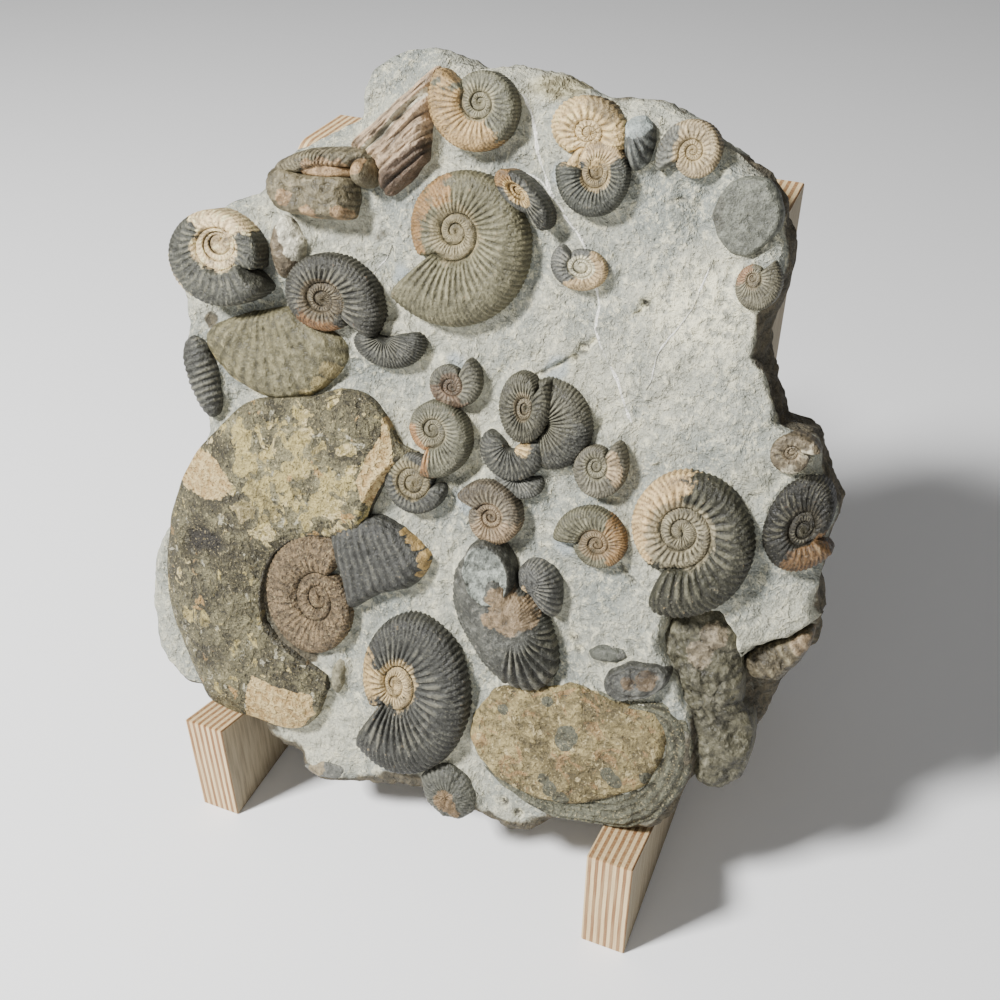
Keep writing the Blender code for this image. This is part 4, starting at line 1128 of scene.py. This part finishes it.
def giant_material():
    """Mottled olive-brown shell with cream and ochre patches, and a pinkish ribbed coil."""
    s = Shader("giant_shell")
    olive, dark, cream, ochre, pink, grey, orange, yellow = (
        linear(c) for c in ((0.48, 0.455, 0.34), (0.28, 0.26, 0.19), (0.84, 0.77, 0.57),
                            (0.74, 0.61, 0.40), (0.53, 0.45, 0.335), (0.70, 0.68, 0.59),
                            (0.66, 0.53, 0.33), (0.73, 0.66, 0.42)))
    fine = s.noise(2.4, 3.0, 0.6)
    grain = s.noise(0.9, 2.0, 0.6)
    blotch = s.noise(9.0, 5.0, 0.6, distort=0.4)
    cloud = s.noise(24.0, 5.0, 0.6, distort=0.4)
    mixed = s.math("ADD", s.times(blotch, 0.6), s.times(fine, 0.4))
    colour = s.mix(s.span(cloud, 0.42, 0.6), olive, dark)
    colour = s.mix(s.span(s.mask("pale"), 0.0, 0.6, 0.5, 0.0), colour, shade(dark, 0.9))
    colour = s.lay(colour, mixed, 0.52, 0.58, 0.45, shade(olive, 1.45))
    colour = s.lay(colour, mixed, 0.48, 0.42, 0.75, shade(dark, 0.45))
    chips = s.noise(5.0, 3.0, 0.65, s.stretch(1.0, 1.2, 0.8), 0.5)
    colour = s.lay(colour, chips, 0.62, 0.67, 0.7, grey)
    spots = s.noise(11.0, 3.0, 0.6, s.stretch(1.1, 0.9, 1.3), 0.4)
    colour = s.lay(colour, spots, 0.65, 0.68, 0.8, orange)
    islands = s.noise(8.0, 3.0, 0.55, s.stretch(1.2, 0.9, 1.1), 0.6)
    pale = s.math("ADD", s.times(s.mask("pale"), 0.13), islands)
    light = s.mix(s.span(cloud, 0.46, 0.54), yellow, cream)
    light = s.mix(s.span(fine, 0.42, 0.58), shade(yellow, 0.7), light)
    colour = s.lay(colour, pale, 0.62, 0.65, 0.85, light)
    slate = s.noise(12.0, 3.0, 0.6, s.stretch(0.9, 1.2, 1.0), 0.5)
    colour = s.lay(colour, slate, 0.55, 0.6, 0.5, shade(dark, 0.6))
    edge = s.ragged("ochre", mixed, 1.6)
    warm = s.mix(s.span(fine, 0.4, 0.6), shade(ochre, 0.8), s.mix(0.5, ochre, cream))
    colour = s.lay(colour, edge, 0.48, 0.54, 0.95, warm)
    # Painted shade: nearly black in the pits, dark on the walls that drop to the slab.
    colour = s.mix(s.mask("pit"), colour, (0.03, 0.026, 0.02))
    colour = s.mix(s.times(s.mask("wall"), 0.7), colour, (0.05, 0.045, 0.035))
    inner = s.mix(s.span(fine, 0.42, 0.58), shade(pink, 0.55), shade(pink, 1.15))
    inner = s.lay(inner, blotch, 0.48, 0.6, 0.6, shade(pink, 0.35))
    # Painted shade in the coil's valleys and seams.
    inner = s.mix(s.times(s.mask("valley"), 0.7, True), inner, (0.06, 0.045, 0.03))
    inner = s.mix(s.times(s.mask("seam"), 0.8, True), inner, (0.03, 0.025, 0.018))
    colour = s.mix(s.mask("coil"), colour, inner)
    colour = s.lay(colour, grain, 0.58, 0.74, 0.5, cream)
    colour = s.lay(colour, grain, 0.42, 0.3, 0.7, shade(dark, 0.25))
    normal = s.bump(grain, 0.6, 1.0)
    normal = s.bump(fine, 1.8, 1.0, normal)
    normal = s.bump(mixed, 3.0, 0.8, normal)
    return s.finish(colour, s.span(fine, 0.3, 0.7, 0.45, 0.75), normal)


# Slab's face: a sunk strip at the right, veins with their widths, cracks, and pits with their radii
STRIP = [(101.8, 207.6), (106.1, 214.9), (112, 220), (114, 205), (113, 190), (105.2, 190.2),
         (102.1, 193), (102.7, 199)]
STRIP_DEPTH = 6.0
VEINS = [
    ([(10, 266), (12, 264), (15, 260), (18, 252), (21, 244), (25, 236), (31, 230), (37, 223), (41, 219),
      (46, 208), (48, 200), (48, 192), (53, 184), (59, 176), (63, 167), (67, 160)], 0.75),
    ([(-31, 209), (-36, 200), (-38, 190)], 0.5),
    ([(15, 241), (22, 238), (30, 231)], 0.45),
    ([(84, 222), (80, 205), (72, 190), (69, 175)], 0.4),
]
VEIN_STEP = 0.8
CRACKS = [[(66, 238), (71, 240), (77, 238)], [(70, 110), (74, 106), (77, 104)],
          [(97, 226), (101, 231), (104, 238)], [(62, 262), (61, 254), (63, 246)],
          [(30, 173), (35, 176), (42, 182)], [(7, 123), (10, 125), (14, 125)]]
PITS = [(45, 185, 3.0), (42, 181, 2.2), (48, 188, 2.0), (64, 204, 2.5), (62, 201, 1.6), (39, -4, 3.2),
        (46, -7, 3.0), (57, 76, 3.2), (60, 72, 2.4)]
GAP_DEPTH = 2.0

# Bluish stone in the mouths of some ammonites
INFILLS = [(29, 241.5, 4.5), (-1, 171, 4.0), (9, 119.5, 5.0), (48.5, 111, 4.0), (-26, 198, 5.0),
           (36, 176, 5.0)]


def footprints():
    """Outlines of the fossils on the slab's face."""
    for spec in COILS.values():
        left, right, low, high = spec["box"]
        middle = ((left + right) / 2, (low + high) / 2)
        turn, ratio = spec.get("squash", (0, 1.0))
        if ratio == 1.0:
            yield ellipse(middle, (right - left) / 2, (high - low) / 2, 0, 28)
        else:
            yield ellipse(middle, (high - low) / 2, (high - low) / 2 * ratio, turn, 28)
    for spec in SHELLS.values():
        yield spec["outline"]
    yield from (STANDING_BODY, THICK_BLOCK, THICK_BAND, FLAT_BROWN, BROWN_LUMP)
    yield GIANT_OUTER[:-2]


def banked(u, v):
    """Stone that climbs the fossils' feet, and the shallow hollow worked round them."""
    bank = np.zeros(u.shape)
    flat_u, flat_v, flat = u.ravel(), v.ravel(), bank.ravel()
    for outline in footprints():
        outline = np.array(outline, float)
        low, high = outline.min(0) - 9, outline.max(0) + 9
        near = (flat_u > low[0]) & (flat_u < high[0]) & (flat_v > low[1]) & (flat_v < high[1])
        away = distance_inside(flat_u[near], flat_v[near], [tuple(p) for p in outline])
        ragged = 1 + 0.7 * fbm(flat_u[near], flat_v[near], 5.0, 2, 44)
        climb = 1.7 * np.exp(-np.maximum(away, 0) / 1.6) * ragged
        hollow = 0.9 * np.exp(-((away - 4.5) / 2.5) ** 2)
        flat[near] = np.maximum(flat[near], climb) - hollow * (flat[near] < climb)
    return flat.reshape(u.shape)


def slab_relief(u, v):
    """Height of the slab's front with its relief, and where cracks and pits open."""
    low = lowered(u, v)
    ridge = np.abs(fbm(u + 4 * fbm(u, v, 20.0, 2, 27), v, 17.0, 4, 25))
    w = slab_level(u, v) + banked(u, v)
    w = w + 1.3 * fbm(u, v, 45.0, 3, 21) + (1.0 + 2.5 * low) * fbm(u, v, 12.0, 4, 22)
    w = w + 0.8 * fbm(u, v, 6.0, 3, 26) + 0.4 * fbm(u, v, 3.0, 2, 23)
    w = w - 1.5 * np.exp(-ridge * 14) * fbm(u, v, 30.0, 2, 28)
    w = w + 1.3 * smooth(28, 8, np.hypot(u - 84, (v - 205) * 1.1)) * fbm(u, v, 5.0, 4, 29)
    gap = np.zeros(u.shape)
    wavy = u + 0.8 * fbm(u, v, 3.0, 2, 46)
    for line in CRACKS:
        gap = np.maximum(gap, 0.7 * smooth(1.3, 0.1, distance_to_line(wavy, v, line)))
    for pu, pv, size in PITS:
        away = np.hypot(u - pu, v - pv) + fbm(u, v, 2.5, 2, 47)
        gap = np.maximum(gap, smooth(size, size * 0.3, away))
    w = w - STRIP_DEPTH * smooth(1.0, -1.5, distance_inside(wavy, v, STRIP))
    return w - GAP_DEPTH * gap, gap


def vein_ribbon(line, width, seed):
    """A thin raised calcite vein that follows the slab's front."""
    line = np.array(line, float)
    run = np.concatenate([[0], np.cumsum(np.hypot(*np.diff(line, axis=0).T))])
    along = np.arange(0, run[-1], VEIN_STEP)
    u, v = np.interp(along, run, line[:, 0]), np.interp(along, run, line[:, 1])
    u = u + 1.2 * fbm(along, 0 * along, 8.0, 4, seed)
    v = v + 1.2 * fbm(along, 0 * along + 9.0, 8.0, 4, seed)
    turn = np.arctan2(np.gradient(v), np.gradient(u)) + math.pi / 2
    half = 1.5 * width * np.clip(0.55 + 0.8 * fbm(along, 0 * along, 5.0, 3, seed + 5), 0.12, 1.0)
    half = half * smooth(0, 6, along) * smooth(0, 6, run[-1] - along) + 0.02
    sides = np.array([-1.0, 0.0, 1.0])[None]
    uu = u[:, None] + np.cos(turn)[:, None] * half[:, None] * sides
    vv = v[:, None] + np.sin(turn)[:, None] * half[:, None] * sides
    w = slab_relief(uu, vv)[0] + np.where(sides == 0, 0.45, -0.2)
    return np.stack([uu, vv, w], -1)


def slab_points():
    """Rows of points from the middle of the front over the rim to the back, and the front's marks."""
    angles = np.linspace(0, TAU, SLAB_ANGLES, endpoint=False)
    edge = soften(reach_to(SLAB_OUTLINE, MIDDLE, angles), 2)
    eu, ev = polar(MIDDLE, edge, angles)
    edge = edge + 1.3 * fbm(eu, ev, 7.0, 4, 11) - 1.8 * np.abs(fbm(eu, ev, 16.0, 3, 12))
    t = np.linspace(0.004, 1, SLAB_RINGS)[:, None] ** 0.92
    u, v = polar(MIDDLE, t * edge, angles)
    w, gap = slab_relief(u, v)
    steep = smooth(88, 102, u) * smooth(120, 150, v)
    rim = (edge * (1 - t)) / (7.0 - 4.5 * steep) + 0.9 * fbm(u, v, 9.0, 4, 24)
    chipped = 1 - smooth(-0.3, 0.8, rim)
    w = w - EDGE_DROP * chipped * (0.75 + 0.6 * fbm(u, v, 14.0, 2, 30))
    rows = [np.stack([u, v, w], -1)]
    for row in range(1, SIDE_ROWS + 1):
        down = row / SIDE_ROWS
        drawn = 1 - SIDE_DRAFT * down ** 3
        height = w[-1] * (1 - down) + BACK_LEVEL * down
        layers = 1.4 * fbm(u[-1] * 0.2, v[-1] * 0.2, 5.0, 3, 32, height)
        rough = 3.6 * fbm(u[-1], v[-1], 9.0, 4, 31, height)
        rough = rough - 2.6 * np.abs(fbm(u[-1], v[-1], 17.0, 3, 33, height)) + layers
        rough = rough * (1 - down ** 6)
        out = np.minimum(edge * drawn + rough + 0.6 * math.sin(math.pi * down), edge + 1.4)
        rows.append(np.stack([*polar(MIDDLE, out, angles), height], -1)[None])
    for row in range(1, BACK_ROWS + 1):
        out = (edge * BACK_SHARE) * (1 - row / BACK_ROWS) + 0.001
        rows.append(np.stack([*polar(MIDDLE, out, angles), np.full_like(out, BACK_LEVEL)], -1)[None])
    points = np.concatenate(rows)
    over_ledge = np.abs(np.abs(points[..., 0]) - LEDGE_MIDDLE) < LEDGE_HALF
    points[..., 1] = np.where(over_ledge, np.maximum(points[..., 1], LEDGE_GAP), points[..., 1])
    return points, (v, rim, chipped, gap)


def slab_masks(points, v, rim, chipped, gap):
    """Where the slab is brown (weathered, in part painted shade), cream, bluish, olive, or open (painted
    shade in cracks and pits).
    """
    uu, vv = points[..., 0], points[..., 1]
    side = np.zeros(points.shape[:2])
    side[SLAB_RINGS:] = 1.0
    side[:SLAB_RINGS] = 0.75 * chipped
    side[-BACK_ROWS:] = 0.3
    low = lowered(uu, vv)
    # Brown: weathered sides and the lower level; the sides grow browner towards the right, where they
    # face away from the key lamp, as painted shade.
    brown = side * (0.4 + 0.7 * smooth(80, 102, uu)) + 0.8 * low
    brown = brown + 0.9 * smooth(1.5, -0.5, distance_inside(uu, vv, STRIP))
    brown = brown + 0.7 * smooth(99, 105, uu) * smooth(62, 50, vv) + 0.4 * side * smooth(30, 0, vv)
    # Painted shade: brown in the groove between the giant ammonite's coil and its inner wall, on its
    # left.
    near_coil = np.hypot((uu + 54) / 19, (vv - 65) / 27)
    brown = brown + smooth(1.28, 1.15, near_coil) * smooth(-44, -52, uu)
    brown[:SLAB_RINGS] += 0.8 * smooth(1.7, 0.3, rim) * smooth(14, -4, v)
    olive = smooth(9, 4, np.hypot((uu - 23) * 0.7, (vv - 268.5) * 1.6) + 3 * fbm(uu, vv, 5.0, 3, 34))
    brown = brown + 0.8 * smooth(5, 2, np.hypot(uu + 106, vv - 167))
    brown = brown + 0.45 * smooth(11, 3, np.hypot(uu + 40, vv - 212) + 4 * fbm(uu, vv, 6.0, 3, 36))
    cream = smooth(26, 8, np.hypot(uu - 84, (vv - 206) * 1.2))
    blue = np.zeros(points.shape[:2])
    for bu, bv, size in INFILLS:
        away = np.hypot(uu - bu, vv - bv) + 1.5 * fbm(uu, vv, 4.0, 2, 35)
        blue = np.maximum(blue, smooth(size * 1.2, size * 0.6, away))
    open_gap = np.zeros(points.shape[:2])
    open_gap[:SLAB_RINGS] = gap
    return {"vein": np.zeros(points.shape[:2]), "brown": np.clip(brown, 0, 1), "cream": cream,
            "gap": open_gap, "blue": blue, "olive": olive}


def make_slab():
    """The limestone slab: rough front, broken sides and a plain back."""
    points, front = slab_points()
    masks = slab_masks(points, *front)
    quads = grid_faces(len(points), SLAB_ANGLES, closed=True)[:, ::-1]
    flat = points.reshape(-1, 3)
    flat = np.concatenate([flat, [flat[:SLAB_ANGLES].mean(0)]])
    tris = fan_faces(np.arange(SLAB_ANGLES), len(flat) - 1)
    masks = {key: np.append(value.ravel(), value[0].mean()) for key, value in masks.items()}
    surfaces = [(flat, quads, tris, masks)]
    for number, (line, width) in enumerate(VEINS):
        ribbon = vein_ribbon(line, width, 300 + number)
        rows, columns = ribbon.shape[:2]
        marks = {key: np.full(rows * columns, 1.0 if key == "vein" else 0.0) for key in masks}
        surfaces.append((ribbon.reshape(-1, 3), grid_faces(rows, columns), NO_TRIANGLES, marks))
    points, quads, tris, masks = joined(*surfaces)
    thing = new_piece("limestone_slab_rock", place(*points.T), quads, tris, masks)
    settle(thing, "limestone_slab", stone_material())


def stone_material():
    """Pale grey limestone: bluish clouds, cream specks, calcite veins, brown weathered sides with painted
    shade, painted shade in cracks and pits.
    """
    s = Shader("limestone")
    pale, blue, dark, cream, brown, white = (
        linear(c) for c in ((0.685, 0.68, 0.61), (0.53, 0.545, 0.515), (0.44, 0.44, 0.39),
                            (0.87, 0.85, 0.73), (0.34, 0.30, 0.225), (0.95, 0.94, 0.90)))
    cloud = s.noise(38.0, 4.0, 0.6)
    patch = s.noise(11.0, 4.0, 0.6, distort=0.3)
    fine = s.noise(3.0, 4.0, 0.65)
    grain = s.noise(1.0, 2.0, 0.6)
    scratch = s.noise(1.8, 3.0, 0.65, s.stretch(1.0, 1.0, 0.25, (0.0, math.radians(28), 0.0)))
    colour = s.mix(s.span(cloud, 0.38, 0.62), blue, pale)
    colour = s.lay(colour, patch, 0.52, 0.68, 0.35, dark)
    chalk = s.noise(6.0, 4.0, 0.7, s.stretch(1.0, 1.1, 0.9), 0.4)
    colour = s.lay(colour, chalk, 0.56, 0.64, 0.45, cream)
    colour = s.lay(colour, fine, 0.53, 0.66, 0.6, cream)
    colour = s.lay(colour, fine, 0.46, 0.32, 0.5, dark)
    colour = s.lay(colour, scratch, 0.56, 0.68, 0.4, cream)
    colour = s.lay(colour, grain, 0.57, 0.72, 0.5, cream)
    colour = s.lay(colour, grain, 0.42, 0.28, 0.4, shade(dark, 0.5))
    filled = s.mix(fine, (0.22, 0.26, 0.27), (0.42, 0.46, 0.46))
    colour = s.mix(s.times(s.mask("blue"), 0.7), colour, filled)
    speck = s.times(s.mask("cream"), s.span(fine, 0.42, 0.56))
    colour = s.mix(speck, colour, cream)
    golden = s.mix(s.span(fine, 0.4, 0.6), (0.16, 0.135, 0.07), (0.46, 0.42, 0.26))
    colour = s.mix(s.times(s.mask("olive"), 0.9), colour, golden)
    # Brown weathering, with painted shade on the right sides and in the groove round the giant's coil.
    edge = s.ragged("brown", patch, 1.6)
    rust_and_shade = s.mix(s.span(fine, 0.38, 0.6), shade(brown, 0.4), brown)
    colour = s.lay(colour, edge, 0.35, 0.7, 0.9, rust_and_shade)
    colour = s.mix(s.times(s.mask("vein"), 0.9), colour, white)
    # Painted shade: the open cracks and pits go nearly black, flecked with cream.
    colour = s.mix(s.mask("gap"), colour, s.mix(s.span(fine, 0.4, 0.6), (0.05, 0.045, 0.035), cream))
    rough = s.span(fine, 0.3, 0.7, 0.75, 0.95)
    normal = s.bump(grain, 0.5, 1.0)
    normal = s.bump(scratch, 0.3, 0.8, normal)
    normal = s.bump(fine, 2.2, 1.0, normal)
    normal = s.bump(patch, 5.0, 0.8, normal)
    return s.finish(colour, rough, normal)


# Stand


def panel_profile(steps=10):
    """Side view of a panel, as y and z of the stand."""
    run = PANEL_HEIGHT - NOTCH_Z
    top_front = NOTCH_Y + run * math.tan(LEAN)
    turn = math.pi / 2 - LEAN
    centre = (top_front + TOP_RADIUS * math.tan(turn / 2), PANEL_HEIGHT - TOP_RADIUS)
    arc = []
    for step in range(steps + 1):
        angle = math.pi - LEAN - turn * step / steps
        arc.append((centre[0] + TOP_RADIUS * math.cos(angle), centre[1] + TOP_RADIUS * math.sin(angle)))
    feet = [(0, 0), (0, FOOT_HEIGHT), (NOTCH_Y, NOTCH_Z)]
    return feet + arc + [(PANEL_DEPTH, PANEL_HEIGHT), (PANEL_DEPTH, 0)]


def ply_board(name, outline, place_board, low, high):
    """A board cut from plywood, with its small edges softened."""
    bm = bmesh.new()
    foot = bm.faces.new([bm.verts.new(place_board(a, b, low)) for a, b in outline])
    grown = bmesh.ops.extrude_face_region(bm, geom=[foot])
    lift = [g for g in grown["geom"] if isinstance(g, bmesh.types.BMVert)]
    for vert, (a, b) in zip(lift, outline):
        vert.co = place_board(a, b, high)
    bmesh.ops.recalc_face_normals(bm, faces=bm.faces)
    bmesh.ops.bevel(bm, geom=list(bm.edges), offset=PLY_EDGE * MM, segments=2, affect="EDGES")
    mesh = bpy.data.meshes.new(name)
    bm.to_mesh(mesh)
    bm.free()
    mesh.shade_smooth()
    mesh.set_sharp_from_angle(angle=math.radians(40))
    thing = bpy.data.objects.new(name, mesh)
    bpy.context.scene.collection.objects.link(thing)
    return thing


def board_point(x, y, z):
    """A point of the stand, in metres."""
    return ((x - ORIGIN_X) * MM, (y - ORIGIN_Y) * MM, z * MM)


def ply_material(name, axis, start):
    """Birch plywood: veneer faces across one axis, striped plies on the cut edges."""
    s = Shader(name)
    cream, brown, veneer, vein = (
        linear(c) for c in ((0.88, 0.78, 0.60), (0.55, 0.40, 0.26), (0.62, 0.57, 0.47),
                            (0.50, 0.45, 0.36)))
    parts = s.tree.nodes.new("ShaderNodeSeparateXYZ")
    s.link(s.coords, parts.inputs[0])
    across = parts.outputs[axis]
    facing = s.tree.nodes.new("ShaderNodeNewGeometry")
    normal_parts = s.tree.nodes.new("ShaderNodeSeparateXYZ")
    s.link(facing.outputs["Normal"], normal_parts.inputs[0])
    face = s.span(s.math("ABSOLUTE", normal_parts.outputs[axis]), 0.6, 0.8)
    long = s.noise(1.5, 5.0, 0.6, s.stretch(1.0, 1.0, 0.06) if axis == 0 else s.stretch(0.06, 1.0, 1.0))
    grain = s.noise(0.5, 4.0, 0.7)
    wander = s.times(s.math("SUBTRACT", s.noise(20.0, 2.0), 0.5), 0.5 * MM)
    shifted = s.math("ADD", across, wander)
    ply = s.times(s.math("SUBTRACT", shifted, start * MM), PLIES / (PLY * MM))
    wave = s.math("PINGPONG", ply, 1.0)
    stripe = s.span(wave, 0.42, 0.58)
    edge = s.mix(stripe, cream, brown)
    edge = s.lay(edge, long, 0.35, 0.7, 0.6, s.mix(0.5, brown, cream))
    edge = s.lay(edge, grain, 0.55, 0.75, 0.35, shade(brown, 0.5))
    side = s.mix(s.span(long, 0.35, 0.7), veneer, vein)
    colour = s.mix(face, edge, side)
    rough = s.span(grain, 0.3, 0.7, 0.55, 0.75)
    normal = s.bump(s.math("ADD", long, s.times(stripe, 0.35)), 0.25, 0.6)
    normal = s.bump(grain, 0.08, 0.6, normal)
    return s.finish(colour, rough, normal)


def make_stand():
    """The two panels and the rail between them."""
    for side, low in (("left", left_low), ("right", right_low)):
        start = low.x / MM + ORIGIN_X
        board = ply_board(f"panel_{side}_board", panel_profile(),
                          lambda y, z, x: board_point(x, y, z), start, start + PLY)
        settle(board, f"plywood_panel_{side}",
               ply_material(f"birch_{side}", 0, low.x / MM))
    low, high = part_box("cross_rail")
    outline = [(low.x, low.y), (high.x, low.y), (high.x, high.y), (low.x, high.y)]
    board = ply_board("cross_rail_board", outline, lambda x, y, z: (x, y, z), low.z, high.z)
    settle(board, "cross_rail", ply_material("birch_rail", 1, low.y / MM))


# Stage: floor, sky, lamps (place, size, power) and camera (place, degrees down and to the left)

FLOOR_SIZE = 12
SKY_STRENGTH = 0.19
LAMPS = {"key": ((-0.75, -0.9, 1.25), 0.25, 68.0), "fill": ((0.3, -1.3, 1.0), 1.2, 3.0)}
LAMP_AIM = (0, 0, 0.15)
CAMERA_LENS = 42.706
CAMERA_AT = (155.99, -267.84, 428.89)
CAMERA_DOWN = 36.91
CAMERA_TURN = 22.45


def make_stage():
    """Pale floor, soft light and the camera."""
    bpy.ops.mesh.primitive_plane_add(size=FLOOR_SIZE)
    floor = bpy.context.object
    floor.name = "floor"
    s = Shader("floor")
    tone = s.mix(s.noise(300.0, 2.0), (0.92, 0.92, 0.92), (0.95, 0.95, 0.95))
    floor.data.materials.append(s.finish(tone, 0.9, s.bump(s.noise(1.0), 0.05, 0.2)))
    world = bpy.data.worlds.new("studio")
    bpy.context.scene.world = world
    world.use_nodes = True
    world.node_tree.nodes["Background"].inputs["Color"].default_value = (1.0, 1.0, 1.0, 1.0)
    world.node_tree.nodes["Background"].inputs["Strength"].default_value = SKY_STRENGTH
    for name, (spot, size, power) in LAMPS.items():
        light = bpy.data.lights.new(name, "AREA")
        light.size = size
        light.energy = power
        lamp = bpy.data.objects.new(name, light)
        lamp.location = spot
        way = np.array(LAMP_AIM) - np.array(spot)
        lamp.rotation_euler = (math.acos(-way[2] / np.linalg.norm(way)), 0, math.atan2(-way[0], way[1]))
        bpy.context.scene.collection.objects.link(lamp)
    camera = bpy.data.cameras.new("camera")
    camera.lens = CAMERA_LENS
    camera.sensor_width = 36.0
    camera.clip_start = 0.01
    eye = bpy.data.objects.new("camera", camera)
    eye.location = board_point(*CAMERA_AT)
    eye.rotation_euler = (math.radians(90 - CAMERA_DOWN), 0, math.radians(CAMERA_TURN))
    bpy.context.scene.collection.objects.link(eye)
    bpy.context.scene.camera = eye


make_slab()
make_coils()
make_shells()
make_standing()
make_thick()
make_lump()
make_flat_brown()
make_giant()
make_stand()
make_stage()
